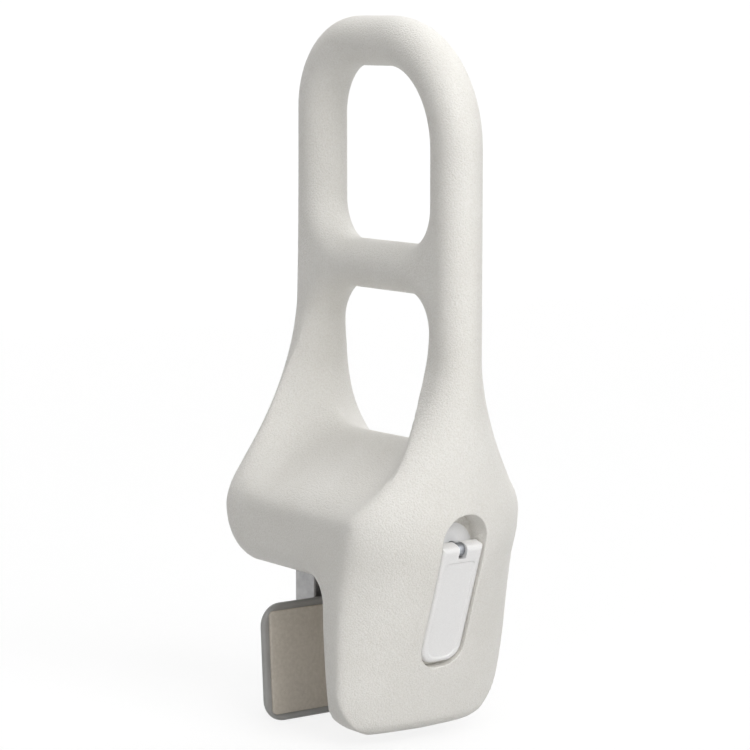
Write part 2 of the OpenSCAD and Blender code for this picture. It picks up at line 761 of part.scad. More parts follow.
module rod_bush() {
    color([0.85, 0.85, 0.82])
        on_seat()
            difference() {
                union() {
                    rod_hole(bush_y, bush_y + bush_len, bush_r);
                    rod_hole(bush_y - 2, bush_y, port_half_w - 0.8);
                }
                rod_hole(bush_y - 3, bush_y + bush_len + 1, rod_r + run_gap);
            }
}

module cam_washer() {
    color([0.8, 0.82, 0.85])
        on_seat()
            difference() {
                rod_hole(recess_back - washer_t, recess_back, washer_r);
                rod_hole(recess_back - washer_t - 1, recess_back + 1, rod_r + 0.4);
            }
}

module guide_channel() {
    color([0.7, 0.71, 0.72])
        on_seat()
            difference() {
                translate([-guide_half, guide_y0, 3])
                    cube([2 * guide_half, guide_y1 - guide_y0, guide_top - 3]);
                translate([-guide_in, guide_y0 - 1, 2])
                    cube([2 * guide_in, guide_y1 - guide_y0 + 2, guide_top - guide_t - 2]);
                for (p = screw_spots)
                    translate([p[0], p[1], guide_top - guide_t - 1])
                        cylinder(d = screw_d + 0.4, h = guide_t + 2);
            }
}

module guide_screws() {
    color([0.6, 0.61, 0.63])
        on_seat()
            for (p = screw_spots)
                translate([p[0], p[1], guide_top - guide_t])
                    difference() {
                        union() {
                            translate([0, 0, -head_h])
                                cylinder(r1 = screw_d * 0.7, r2 = screw_d * 0.95, h = head_h);
                            cylinder(d = screw_d, h = screw_len + guide_t);
                        }
                        translate([-0.5, -screw_d, -head_h - 0.1])
                            cube([1, 2 * screw_d, 0.9]);
                        translate([-screw_d, -0.5, -head_h - 0.1])
                            cube([2 * screw_d, 1, 0.9]);
                    }
}

// Pull rod and cam lever

module pull_rod() {
    flat = recess_back - washer_t - pin_y + 1.2;
    color([0.72, 0.74, 0.78])
        on_seat()
            difference() {
                union() {
                    rod_hole(pin_y, rod_end, rod_r);
                    translate([-eye_t / 2, pin_y, rod_z])
                        rotate([0, 90, 0])
                            cylinder(r = eye_r, h = eye_t);
                }
                for (x = [-1, 1])
                    translate([x * (eye_t / 2 + rod_r), pin_y + flat / 2 - 1, rod_z])
                        cube([2 * rod_r, flat + 2, 3 * rod_r], center = true);
                translate([-eye_t, pin_y, rod_z])
                    rotate([0, 90, 0])
                        cylinder(r = pin_r + run_gap, h = 2 * eye_t);
            }
}

module pivot_pin() {
    len = lever_w - 1.4;
    color([0.7, 0.71, 0.74])
        on_seat()
            translate([-len / 2, pin_y, rod_z])
                rotate([0, 90, 0]) {
                    cylinder(r1 = pin_r - 0.4, r2 = pin_r, h = 0.4);
                    translate([0, 0, 0.4])
                        cylinder(r = pin_r, h = len - 0.8);
                    translate([0, 0, len - 0.4])
                        cylinder(r1 = pin_r, r2 = pin_r - 0.4, h = 0.4);
                }
}

// reach of the cam in the direction a, measured from the rear towards the top
function cam_reach(a) = cam_shut_r - cam_throw * a / lever_swing;

// cam outline point whose tangent is square to the direction a; it pulls in proportion to the swing
function cam_point(a) =
    cam_reach(a) * [cos(a), sin(a)] - cam_throw / lever_swing * 180 / PI * [-sin(a), cos(a)];

// where two lines meet, each given by its normal's direction and its distance
function meet(a0, d0, a1, d1) =
    [d0 * sin(a1) - d1 * sin(a0), d1 * cos(a0) - d0 * cos(a1)] / sin(a1 - a0);

module lever_side() {
    a0 = -12;
    a1 = lever_swing + 8;
    top = meet(a1, cam_reach(a1), 180 + tilt, lever_face);
    toe = meet(180 + tilt, lever_face, tilt - 90, lever_drop);
    heel = meet(tilt - 90, lever_drop, tilt, lever_t - lever_face);
    neck = meet(tilt, lever_t - lever_face, a0, cam_reach(a0));
    corners = fillet([
        [cam_point(a1)[0], cam_point(a1)[1], 0],
        [top[0], top[1], 1.6],
        [toe[0], toe[1], 1.6],
        [heel[0], heel[1], 1.6],
        [neck[0], neck[1], 3],
        [cam_point(a0)[0], cam_point(a0)[1], 0]
    ]);
    cam = [for (a = [a0 + 6:6:a1 - 6]) cam_point(a)];
    polygon(concat(corners, cam));
}

module lever_outline() {
    w0 = lever_w / 2;
    w1 = lever_end_w / 2;
    polygon(fillet([
        [-w0, 30, 0],
        [-w1, -lever_drop, lever_end_r],
        [w1, -lever_drop, lever_end_r],
        [w0, 30, 0]
    ]));
}

module panel_outline() {
    w = lever_w / 2 - 5.3;
    polygon(fillet([[-w, -7, 3], [-w, -lever_drop + 4.5, 9], [w, -lever_drop + 4.5, 9], [w, -7, 3]]));
}

// lays a drawing on the lever's sloped face, with its height pointing out of it
module on_lever(depth, h) {
    translate([0, pin_y, rod_z])
        rotate([90 + tilt, 0, 0])
            translate([0, 0, depth])
                linear_extrude(h)
                    children();
}

module cam_lever() {
    color([0.93, 0.94, 0.96])
        on_seat()
            difference() {
                intersection() {
                    translate([-lever_w, pin_y, rod_z])
                        rotate([90, 0, 90])
                            linear_extrude(2 * lever_w)
                                lever_side();
                    on_lever(-40, 80)
                        lever_outline();
                }
                on_lever(lever_face - panel_depth, 5)
                    panel_outline();
                translate([-notch_w / 2, pin_y - 20, rod_z - notch_drop])
                    cube([notch_w, 40, 30]);
                translate([-lever_w, pin_y, rod_z])
                    rotate([0, 90, 0])
                        cylinder(r = pin_r, h = 2 * lever_w);
            }
}

module stop_nut() {
    color([0.7, 0.71, 0.74])
        on_seat()
            difference() {
                along_y(rod_end - nut_t - 0.2)
                    cylinder(r = 7.5, h = nut_t, $fn = 6);
                rod_hole(rod_end - nut_t - 2, rod_end + 1, rod_r);
            }
}

// Jaw pieces

module arm_section(grow, y0) {
    w = arm_w / 2 - (grow ? 0 : arm_t);
    y1 = arm_rear - (grow ? 0 : arm_t);
    c = grow ? 3 : 1.4;
    translate([-w, y0])
        square([2 * w, y1 - c - y0]);
    translate([-(w - c), y0])
        square([2 * (w - c), y1 - y0]);
    for (x = [-1, 1])
        translate([x * (w - c), y1 - c])
            circle(r = c);
}

// puts pieces on the toed-in plane of the jaw plate's back
module on_jaw() {
    translate([0, plate_y, plate_z])
        rotate([-toe_in, 0, 0])
            children();
}

module rivet_holes(rad) {
    for (x = [-rivet_x, rivet_x])
        for (z = [-rivet_z, rivet_z])
            translate([x, -5, z])
                rotate([-90, 0, 0])
                    cylinder(r = rad, h = 10);
}

module jaw_arm() {
    step_z = plate_top - plate_t - 0.3;
    color([0.62, 0.65, 0.7])
        on_seat()
            difference() {
                union() {
                    difference() {
                        intersection() {
                            translate([0, 0, arm_low])
                                linear_extrude(arm_top - arm_low)
                                    arm_section(true, 140);
                            translate([-30, 0, 0])
                                rotate([90, 0, 90])
                                    linear_extrude(60)
                                        polygon(fillet([
                                            [arm_front, arm_top, 0],
                                            [arm_front, step_z, 0],
                                            [plane_y - toe_slope * (plate_top - step_z), step_z, 0],
                                            [plane_y - toe_slope * (plate_top - arm_low), arm_low, 0],
                                            [arm_rear, arm_low, 9],
                                            [arm_rear, arm_top, 0]
                                        ]));
                        }
                        translate([0, 0, arm_low - 1])
                            linear_extrude(arm_top - arm_low + 2)
                                arm_section(false, 130);
                    }
                    on_jaw()
                        for (x = [-1, 1])
                            translate([x * (arm_w / 2 - arm_t + ear_w / 2), arm_t, 0])
                                rotate([90, 0, 0])
                                    linear_extrude(arm_t)
                                        round_rect(ear_w, ear_h, 3);
                }
                on_jaw()
                    rivet_holes(rivet_r);
                rod_hole(arm_rear - 10, arm_rear + 5, insert_r);
            }
}

module glide_shoe() {
    z0 = arm_top - shoe_hold;
    z1 = arm_top + shoe_over;
    w = guide_in - shoe_play;
    color([0.2, 0.2, 0.21])
        on_seat()
            difference() {
                translate([-w, arm_front - 1.2, z0])
                    cube([2 * w, arm_rear - arm_front + 2.2, z1 - z0]);
                translate([0, 0, z0 - 1])
                    linear_extrude(arm_top - z0 + 1)
                        difference() {
                            arm_section(true, arm_front);
                            arm_section(false, arm_front - 1);
                        }
            }
}

module rod_insert() {
    color([0.78, 0.79, 0.8])
        on_seat()
            difference() {
                union() {
                    rod_hole(arm_rear - 13, arm_rear, insert_r);
                    rod_hole(arm_rear, arm_rear + flange_t, flange_r);
                }
                rod_hole(arm_rear - 14, arm_rear + flange_t + 1, rod_r + run_gap);
            }
}

module jaw_plate() {
    inner_w = plate_w - 2 * plate_t;
    color([0.42, 0.44, 0.47])
        on_seat()
            on_jaw()
                difference() {
                    translate([0, rim_back, 0])
                        rotate([90, 0, 0])
                            soft_plate(plate_w, plate_h, plate_r, plate_depth, 2.6);
                    translate([0, rim_back, 0])
                        rotate([90, 0, 0])
                            soft_plate(inner_w, plate_h - 2 * plate_t, plate_r - plate_t, rim_back, 1);
                    rivet_holes(rivet_r);
                    for (x = [-rivet_x, rivet_x])
                        for (z = [-rivet_z, rivet_z])
                            translate([x, -plate_t, z])
                                rotate([-90, 0, 0])
                                    cylinder(r1 = rivet_r + 1.2, r2 = rivet_r, h = 1.2);
                }
}

module plate_rivets() {
    color([0.7, 0.71, 0.73])
        on_seat()
            on_jaw()
                for (x = [-rivet_x, rivet_x])
                    for (z = [-rivet_z, rivet_z])
                        translate([x, 0, z])
                            rotate([-90, 0, 0]) {
                                translate([0, 0, -plate_t])
                                    cylinder(r1 = rivet_r + 1.2, r2 = rivet_r, h = 1.2);
                                translate([0, 0, -plate_t])
                                    cylinder(r = rivet_r, h = plate_t + arm_t);
                                translate([0, 0, arm_t])
                                    cylinder(r1 = rivet_r + 1.8, r2 = rivet_r + 0.8, h = 1.6);
                            }
}

module jaw_pad() {
    color([0.66, 0.62, 0.57])
        on_seat()
            on_jaw()
                translate([0, -plate_t, 0.4])
                    rotate([90, 0, 0])
                        soft_plate(pad_w, pad_h, pad_r, pad_t, 0.6);
}

body();
inner_pad();
rod_bush();
guide_channel();
guide_screws();
cam_washer();
pull_rod();
pivot_pin();
cam_lever();
stop_nut();
jaw_arm();
glide_shoe();
rod_insert();
jaw_plate();
plate_rivets();
jaw_pad();
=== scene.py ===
# %% [markdown]
# # Bath safety rail, dressed for the studio
#
# The real thing is a one-piece moulded handle that straddles the wall of a bath.
# A cam lever in its front draws a padded jaw against the inside of the tub.
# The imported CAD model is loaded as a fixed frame, and this lesson puts the looks
# on it: the soft moulded skin, the lever, the steel, the rubber and the light.

# %% Load the frame
import json
import bmesh
import bpy
import numpy as np
from mathutils import Matrix, Vector


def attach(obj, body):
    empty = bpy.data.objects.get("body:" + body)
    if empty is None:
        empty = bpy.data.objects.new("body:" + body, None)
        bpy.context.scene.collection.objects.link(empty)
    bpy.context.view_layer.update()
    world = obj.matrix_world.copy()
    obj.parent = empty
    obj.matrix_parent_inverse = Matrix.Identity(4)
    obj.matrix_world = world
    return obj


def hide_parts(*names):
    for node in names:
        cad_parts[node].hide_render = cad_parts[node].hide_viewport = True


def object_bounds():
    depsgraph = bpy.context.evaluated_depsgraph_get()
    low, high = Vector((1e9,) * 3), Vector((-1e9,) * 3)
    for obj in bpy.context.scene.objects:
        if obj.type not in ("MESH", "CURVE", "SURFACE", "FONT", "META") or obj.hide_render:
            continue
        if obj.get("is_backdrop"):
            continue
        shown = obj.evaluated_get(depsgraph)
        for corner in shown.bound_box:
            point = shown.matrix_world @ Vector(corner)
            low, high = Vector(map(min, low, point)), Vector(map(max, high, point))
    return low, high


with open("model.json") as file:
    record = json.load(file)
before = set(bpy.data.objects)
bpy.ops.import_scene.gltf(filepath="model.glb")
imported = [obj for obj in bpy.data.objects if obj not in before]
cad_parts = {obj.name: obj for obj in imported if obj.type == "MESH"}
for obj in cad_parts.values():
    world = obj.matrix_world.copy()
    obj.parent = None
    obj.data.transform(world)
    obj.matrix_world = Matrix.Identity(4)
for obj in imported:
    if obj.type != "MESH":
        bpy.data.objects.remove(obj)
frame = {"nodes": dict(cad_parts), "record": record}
cad_box = [list(corner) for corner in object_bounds()]
MM = 0.001        # the frame is in metres, the sizes here are in millimetres
SEAT_Y = 108.5    # from the front line to the middle of the seat

# %% [markdown]
# ## Camera
#
# The photograph was taken with a long lens from the left front, a little above
# the seat. Azimuth, elevation, focal length in pixels and distance were found by
# fitting known points of the CAD model to the picture, so there is no lens shift:
# the camera looks where the middle of the picture looks.

# %% Camera
PIXELS = 750
FOCAL = 2854.0
AZIMUTH, ELEVATION = np.radians(36.03), np.radians(7.23)
DISTANCE = 1908.4
AIM_PIXEL = np.array([471.24, 589.84])


def place_camera():
    """The front line's point at the seat's height lands on AIM_PIXEL, DISTANCE along the view axis."""
    sa, ca, se, ce = np.sin(AZIMUTH), np.cos(AZIMUTH), np.sin(ELEVATION), np.cos(ELEVATION)
    right = np.array([ca, -sa, 0.0])
    up = np.array([sa * se, ca * se, ce])
    ahead = np.array([sa * ce, ca * ce, -se])
    off = (AIM_PIXEL - PIXELS / 2) / FOCAL * DISTANCE
    spot = np.array([0, -SEAT_Y, 0]) - right * off[0] + up * off[1] - ahead * DISTANCE
    data = bpy.data.cameras.new("studio_camera")
    data.sensor_width = 36
    data.lens = 36 * FOCAL / PIXELS
    data.clip_end = 50
    camera = bpy.data.objects.new("studio_camera", data)
    bpy.context.scene.collection.objects.link(camera)
    rows = np.stack([right, up, -ahead], axis=1)
    camera.matrix_world = Matrix([[*rows[i], spot[i] * MM] for i in range(3)] + [[0, 0, 0, 1]])
    bpy.context.scene.camera = camera
    return camera


camera = place_camera()
print("lens", round(camera.data.lens, 1), "mm at", tuple(round(v, 3) for v in camera.location))

# %% [markdown]
# ## Surfaces from numbers
#
# Every new piece is a surface worked out with numpy: arrays of points and of
# quads go into a mesh in one call. Sizes are written in millimetres in the
# front line's frame, as a drawing would have them, and turned to metres in the
# seat's frame here, so a piece's object stays at the origin.

# %% Mesh helpers
def make_mesh(name, points, quads):
    """A smooth mesh object from an (n, 3) array in mm, Y counted from the front line, and quads."""
    mesh = bpy.data.meshes.new(name)
    place = (np.asarray(points, float) - [0, SEAT_Y, 0]) * MM
    mesh.from_pydata(place.tolist(), [], np.asarray(quads).tolist())
    mesh.polygons.foreach_set("use_smooth", np.full(len(mesh.polygons), True))
    obj = bpy.data.objects.new(name, mesh)
    bpy.context.scene.collection.objects.link(obj)
    return obj


def grid_quads(rows, cols, start=0):
    """Quads of a rows x cols grid of points whose first point has the index start."""
    index = np.arange(rows * cols).reshape(rows, cols) + start
    return np.stack([index[:-1, :-1], index[1:, :-1], index[1:, 1:], index[:-1, 1:]], -1).reshape(-1, 4)


def weld(obj, distance):
    """Merges points within distance mm, drops faces of no area and turns all faces outwards."""
    bm = bmesh.new()
    bm.from_mesh(obj.data)
    bmesh.ops.remove_doubles(bm, verts=bm.verts, dist=distance * MM)
    bmesh.ops.dissolve_degenerate(bm, edges=bm.edges, dist=0.001 * MM)
    bmesh.ops.recalc_face_normals(bm, faces=bm.faces)
    bm.to_mesh(obj.data)
    bm.free()
    return obj


def bake_modifiers(obj):
    """Replaces the mesh by its evaluated self, so that no modifier is left."""
    graph = bpy.context.evaluated_depsgraph_get()
    mesh = bpy.data.meshes.new_from_object(obj.evaluated_get(graph))
    obj.modifiers.clear()
    obj.data = mesh
    return obj

# %% [markdown]
# ## The moulded body
#
# The real rail is one moulding, most likely hollow. Its mould opens sideways, so
# the whole skin is a half thickness over the side view: |x| = half(y, z). That is
# why it is computed here as one height field on both sides of the middle plane,
# with the same sizes as the CAD source, instead of being sculpted.

# %% Sizes of the moulding, in mm
TUBE, FRONT_LEG = 17.0, 35.5
BAR_Z, TOP_Z = 211.0, 381.0
LOOP_DEPTH = 188.5
ARCH_FRONT, ARCH_REAR = 88.0, 63.0
UPPER_FRONT, UPPER_REAR, UPPER_LOW = 55.0, 33.5, 26.5
LOWER_TOP, SILL_Z = 25.5, 94.0
SILL_FRONT, SILL_REAR, SILL_FRONT_R, SILL_REAR_R = 42.0, 181.0, 27.0, 50.0
FADE, FLANK_SLOPE, FLANK_CORNER, FLANK_SOFT, EDGE_SOFT = 79.0, 2.0, 1.0, 8.0, 10.0
FRONT_HALF_W, REAR_HALF_W = 72.0, 71.0
WIDEN_FRONT, WIDEN_REAR, FULL_FRONT, FULL_REAR, WIDEN_POWER = 151.5, 184.0, 51.0, 50.0, 1.7
BEND_Z, LEAN, BEND_SOFT = 30.5, 0.325, 14.0
FRONT_RAKE, FRONT_RAKE_Z, FRONT_RAKE_SOFT = 0.027, 128.0, 30.0
REAR_RAKE, REAR_RAKE_Z, REAR_RAKE_SOFT = 0.093, 187.0, 60.0
NARROW_POWER, NARROW_MOST = 1.5, 1.3
INNER_Y, FOOT_Z, REAR_LOW, SEAT_FILLET, LEG_TOP = 83.0, -107.0, 41.0, 16.0, 80.0
TOE_FRONT, TOE_INNER, EDGE_R = 10.0, 18.0, 18.0
BOW, BOW_LOW, BOW_OVER, BOW_SOFT, FOOT_R, FOOT_W = 36.5, 14.5, 0.2, 3.5, 36.0, 31.0
BOW_STRETCH, BOW_STRETCH_Z, EDGE_GROWTH = 0.05, 20.0, 1.3
TAPER, TAPER_Z = 7.0, -13.0
LEAST = 0.01      # least softness of a blend, so that it never divides by zero
FINE = 4          # steps of this mesh for each step of the CAD source

# %% Formulas of the moulding
def soft_min(a, b, k):
    """The lower of a and b, blended by a parabola where they are within k."""
    k = np.maximum(k, 1e-6)
    h = np.clip(0.5 + 0.5 * (b - a) / k, 0, 1)
    return b + (a - b) * h - k * h * (1 - h)


def ease(t):
    """0 to 1 with flat ends: 3t^2 - 2t^3."""
    t = np.clip(t, 0, 1)
    return t * t * (3 - 2 * t)


def ramp(t, k):
    """A straight ramp for t above 0 with a rounded foot of size k."""
    return (t + np.sqrt(t * t + k * k)) / 2


def edge(s):
    """Rounded edge profile: sqrt(1 - (1 - s)^2), 0 at the edge and 1 on the flat."""
    return np.sqrt(1 - (1 - np.clip(s, 0, 1)) ** 2)


def round_box(y, z, y0, y1, z0, z1, top_front, top_rear, low_front, low_rear):
    """Signed distance from a rectangle with four corner radii, negative inside."""
    py, pz = y - (y0 + y1) / 2, z - (z0 + z1) / 2
    c = np.where(py > 0, np.where(pz > 0, top_rear, low_rear), np.where(pz > 0, top_front, low_front))
    qy, qz = np.abs(py) - (y1 - y0) / 2 + c, np.abs(pz) - (z1 - z0) / 2 + c
    return np.minimum(np.maximum(qy, qz), 0) + np.hypot(np.maximum(qy, 0), np.maximum(qz, 0)) - c


def front(z):
    """Front line: straight down the leg, raked a little, then leaning in below the bend."""
    return FRONT_RAKE * ramp(FRONT_RAKE_Z - z, FRONT_RAKE_SOFT) + LEAN * ramp(BEND_Z - z, BEND_SOFT)


def toe_line(z):
    """The front line with the toe's quarter circle at its foot."""
    t = np.clip((FOOT_Z + TOE_FRONT - z) / TOE_FRONT, 0, 1)
    return front(z) + TOE_FRONT * (1 - np.sqrt(1 - t * t))


def rear(z):
    """Rear line: straight, then raked outwards below the crossbar."""
    return LOOP_DEPTH + REAR_RAKE * ramp(REAR_RAKE_Z - z, REAR_RAKE_SOFT)


def window_sides(z):
    """Front and rear edges of the lower window, which narrows towards its sill."""
    t = np.clip((BAR_Z - TUBE - z) / (BAR_Z - TUBE - SILL_Z), 0, NARROW_MOST) ** NARROW_POWER
    inner = LOOP_DEPTH - 2 * TUBE
    return FRONT_LEG + (SILL_FRONT - FRONT_LEG) * t, inner + (SILL_REAR - LOOP_DEPTH + 2 * TUBE) * t


def inside(y, z):
    """Distance inside the outline of loop, saddle and pendant, with the seat fillet between them."""
    loop = -round_box(y, z, front(z), rear(z), 0, TOP_Z, ARCH_FRONT, ARCH_REAR, 0, REAR_LOW)
    leg = -round_box(y, z, front(z), INNER_Y, FOOT_Z, LEG_TOP, 0, 0, TOE_FRONT, TOE_INNER)
    f = SEAT_FILLET
    return np.hypot(np.maximum(f + loop, 0), np.maximum(f + leg, 0)) - np.maximum(f, np.minimum(-loop, -leg))


def width(y, z):
    """Half width before the edges are rounded: the tube's radius, widening by a power curve."""
    u = np.clip(y / LOOP_DEPTH, 0, 1)
    full = FULL_FRONT + (FULL_REAR - FULL_FRONT) * u
    q = (z - full) / (WIDEN_FRONT + (WIDEN_REAR - WIDEN_FRONT) * u - full)
    narrow = TAPER * np.clip((TAPER_Z - z) / (TAPER_Z - FOOT_Z), 0, 1) ** 2
    top = FRONT_HALF_W + (REAR_HALF_W - FRONT_HALF_W) * u - narrow
    return soft_min(TUBE + (top - TUBE) * np.maximum(1 - q, 0) ** WIDEN_POWER, top, FLANK_SOFT)


def half(y, z):
    """Half thickness: width rounded at the outline, bowed at the front and sloped off round the windows."""
    w = width(y, z)
    f = np.clip((w - TUBE) / (FRONT_HALF_W - TUBE), 0, 1)
    low = ease((BEND_Z - z) / (BEND_Z - FOOT_Z))
    cut = w + (EDGE_R - w) * ease(f * EDGE_GROWTH)
    rim = w - cut + cut * edge(inside(y, z) / (TUBE + (EDGE_R - TUBE) * f))
    depth = (y - toe_line(z)) * (1 - BOW_STRETCH * ease((BEND_Z - z) / BOW_STRETCH_Z))
    over = 1 + BOW_OVER * f * f
    meet = (TUBE + (BOW + (BOW_LOW - BOW) * low - TUBE) * f) / (1 - np.sqrt(1 - over ** -2))
    h = soft_min(rim, w * over * edge(depth / meet), BOW_SOFT * f + LEAST)
    upper = round_box(y, z, FRONT_LEG, LOOP_DEPTH - 2 * TUBE, BAR_Z + TUBE, TOP_Z - 2 * TUBE,
                      UPPER_FRONT, UPPER_REAR, UPPER_LOW, UPPER_LOW)
    wf, wr = window_sides(z)
    lower = round_box(y, z, wf, wr, SILL_Z, BAR_Z - TUBE, LOWER_TOP, LOWER_TOP, SILL_FRONT_R, SILL_REAR_R)
    v = ease((SILL_Z + FADE - z) / FADE)
    d = np.maximum(lower, 0)
    near = round_box(y, z, wf, wr, SILL_Z, BAR_Z - TUBE, LOWER_TOP, LOWER_TOP, FLANK_CORNER, SILL_REAR_R)
    near = np.maximum(near, 0)
    flank = np.sqrt((1 - v) * (w * edge(lower / TUBE)) ** 2 + v * (2 * TUBE * d + FLANK_SLOPE * near * near))
    sloped = soft_min(h, flank, EDGE_SOFT * f * v + LEAST)
    h = np.where(z > BAR_Z, np.minimum(h, TUBE * edge(upper / TUBE)), sloped)
    h = np.minimum(h, w - FOOT_W + FOOT_W * edge((z - FOOT_Z) / FOOT_R))
    return np.maximum(h, 0)

# %% [markdown]
# The side view is cut into four patches: a ring round each window, the saddle
# and the pendant. Rings give the tube even quads all round, with the seam and the
# windows' edges exactly on grid lines.

# %% Lines and patches of the side view
def arc(cy, cz, rad, a0, a1, n):
    """n steps along a circle about (cy, cz), from a0 to a1 degrees."""
    a = np.radians(np.linspace(a0, a1, n + 1))
    return np.stack([cy + rad * np.cos(a), cz + rad * np.sin(a)], -1)


def run(p0, p1, n, power=1.0):
    """n steps from p0 to p1, closer together near p0 for a power above 1."""
    t = np.linspace(0, 1, n + 1)[:, None] ** power
    return np.array(p0, float) * (1 - t) + np.array(p1, float) * t


def join(*parts):
    """Runs whose ends meet, as one."""
    return np.concatenate([parts[0]] + [p[1:] for p in parts[1:]])


def patch(top, low, left, right):
    """Coons patch: the two ruled surfaces between opposite edges, less the corners' bilinear one."""
    u = np.linspace(0, 1, len(top))[None, :, None]
    t = np.linspace(0, 1, len(left))[:, None, None]
    across = top[None] * (1 - t) + low[None] * t
    down = left[:, None] * (1 - u) + right[:, None] * u
    corners = (top[0] * (1 - u) + top[-1] * u) * (1 - t) + (low[0] * (1 - u) + low[-1] * u) * t
    return across + down - corners


def on_line(line, z0, z1, n):
    """n steps along the front or rear line between two heights."""
    z = np.linspace(z0, z1, n + 1)
    return np.stack([line(z), z], -1)


def bend(points, line, base):
    """Moves points sideways by as much as the line departs from its straight base."""
    points = points.copy()
    points[:, 0] += line(points[:, 1]) - base
    return points


COR, SIDE, TURN, SPAN, ROOF, ROUND = (n * FINE for n in (5, 5, 10, 8, 2, 8))
BAR = 2 * COR + SPAN
IN0, IN1 = FRONT_LEG, LOOP_DEPTH - 2 * TUBE
JOIN_Z, JOIN_FRONT, JOIN_REAR = SILL_Z - 14, 60, 136
CROWD_BAR, CROWD_FRONT, CROWD_REAR, CROWD_SEAT = 2.4, 2.3, 1.6, 1.6    # powers that crowd steps to an edge


def ring(inner, outer, one_sided):
    """Rows across a ring: half a cosine wave for a tube, a quarter where the far edge carries on."""
    n, s = len(inner) - 1, 2 * FINE
    v = np.array([one_sided[(i + np.arange(-s, s + 1)) % n].mean() for i in range(n + 1)])[:, None]
    a = np.pi * np.arange(ROUND + 1)[None] / ROUND
    t = ((1 - np.cos(a)) / 2 * (1 - v) + (1 - np.cos(a / 2)) * v)[..., None]
    return inner[:, None] * (1 - t) + outer[:, None] * t


def bar_row():
    """The line through the middle of the crossbar, rear to front."""
    return join(run((rear(BAR_Z), BAR_Z), (IN1 - UPPER_LOW, BAR_Z), COR, CROWD_BAR),
                run((IN1 - UPPER_LOW, BAR_Z), (IN0 + UPPER_LOW, BAR_Z), SPAN),
                run((front(BAR_Z), BAR_Z), (IN0 + UPPER_LOW, BAR_Z), COR, CROWD_BAR)[::-1])


def upper_ring():
    """The round tube about the upper window, from the crossbar's middle up and over."""
    z0, z1, c = BAR_Z + TUBE, TOP_Z - 2 * TUBE, UPPER_LOW
    inner = join(
        arc(IN0 + c, z0 + c, c, 225, 180, COR), run((IN0, z0 + c), (IN0, z1 - UPPER_FRONT), SIDE),
        arc(IN0 + UPPER_FRONT, z1 - UPPER_FRONT, UPPER_FRONT, 180, 90, TURN),
        run((IN0 + UPPER_FRONT, z1), (IN1 - UPPER_REAR, z1), ROOF),
        arc(IN1 - UPPER_REAR, z1 - UPPER_REAR, UPPER_REAR, 90, 0, TURN),
        run((IN1, z1 - UPPER_REAR), (IN1, z0 + c), SIDE), arc(IN1 - c, z0 + c, c, 0, -45, COR),
        arc(IN1 - c, z0 + c, c, -45, -90, COR), run((IN1 - c, z0), (IN0 + c, z0), SPAN),
        arc(IN0 + c, z0 + c, c, 270, 225, COR))
    outer = join(
        on_line(front, BAR_Z, z0 + c, COR), on_line(front, z0 + c, TOP_Z - ARCH_FRONT, SIDE),
        bend(arc(ARCH_FRONT, TOP_Z - ARCH_FRONT, ARCH_FRONT, 180, 90, TURN), front, 0),
        run((ARCH_FRONT + front(TOP_Z), TOP_Z), (rear(TOP_Z) - ARCH_REAR, TOP_Z), ROOF),
        bend(arc(LOOP_DEPTH - ARCH_REAR, TOP_Z - ARCH_REAR, ARCH_REAR, 90, 0, TURN), rear, LOOP_DEPTH),
        on_line(rear, TOP_Z - ARCH_REAR, z0 + c, SIDE), on_line(rear, z0 + c, BAR_Z, COR), bar_row())
    n = len(inner)
    return ring(inner, outer, (np.arange(n) >= n - 1 - BAR).astype(float))


def lower_ring():
    """The ring about the lower window; its sill side runs on into the saddle."""
    z1, c = BAR_Z - TUBE, LOWER_TOP
    inner = join(
        arc(IN0 + c, z1 - c, c, 135, 180, COR), run((IN0, z1 - c), (IN0, SILL_Z + SILL_FRONT_R), SIDE),
        arc(IN0 + SILL_FRONT_R, SILL_Z + SILL_FRONT_R, SILL_FRONT_R, 180, 225, COR),
        arc(IN0 + SILL_FRONT_R, SILL_Z + SILL_FRONT_R, SILL_FRONT_R, 225, 270, COR),
        run((IN0 + SILL_FRONT_R, SILL_Z), (IN1 - SILL_REAR_R, SILL_Z), SPAN),
        arc(IN1 - SILL_REAR_R, SILL_Z + SILL_REAR_R, SILL_REAR_R, 270, 315, COR),
        arc(IN1 - SILL_REAR_R, SILL_Z + SILL_REAR_R, SILL_REAR_R, 315, 360, COR),
        run((IN1, SILL_Z + SILL_REAR_R), (IN1, z1 - c), SIDE), arc(IN1 - c, z1 - c, c, 0, 45, COR),
        arc(IN1 - c, z1 - c, c, 45, 90, COR), run((IN1 - c, z1), (IN0 + c, z1), SPAN),
        arc(IN0 + c, z1 - c, c, 90, 135, COR))
    wf, wr = window_sides(inner[:, 1])
    inner[:, 0] += np.where(inner[:, 0] < (IN0 + IN1) / 2, wf - IN0, wr - IN1)
    back_row = join(on_line(rear, JOIN_Z, SILL_Z + SILL_REAR_R, COR),
                    on_line(rear, SILL_Z + SILL_REAR_R, z1 - c, SIDE), on_line(rear, z1 - c, BAR_Z, COR))
    outer = join(
        on_line(front, BAR_Z, z1 - c, COR), on_line(front, z1 - c, SILL_Z + SILL_FRONT_R, SIDE),
        on_line(front, SILL_Z + SILL_FRONT_R, JOIN_Z, COR), join_row(), back_row, bar_row())
    n, low = len(inner), 2 * COR + SIDE
    i = np.arange(n)
    return ring(inner, outer, ((i >= n - 1 - BAR) | ((i >= low) & (i <= low + BAR))).astype(float)), back_row


def join_row():
    """The line below the sill where the window's ring meets the saddle."""
    return join(run((front(JOIN_Z), JOIN_Z), (JOIN_FRONT, JOIN_Z), COR, CROWD_FRONT),
                run((JOIN_FRONT, JOIN_Z), (JOIN_REAR, JOIN_Z), SPAN),
                run((rear(JOIN_Z), JOIN_Z), (JOIN_REAR, JOIN_Z), COR, CROWD_REAR)[::-1])


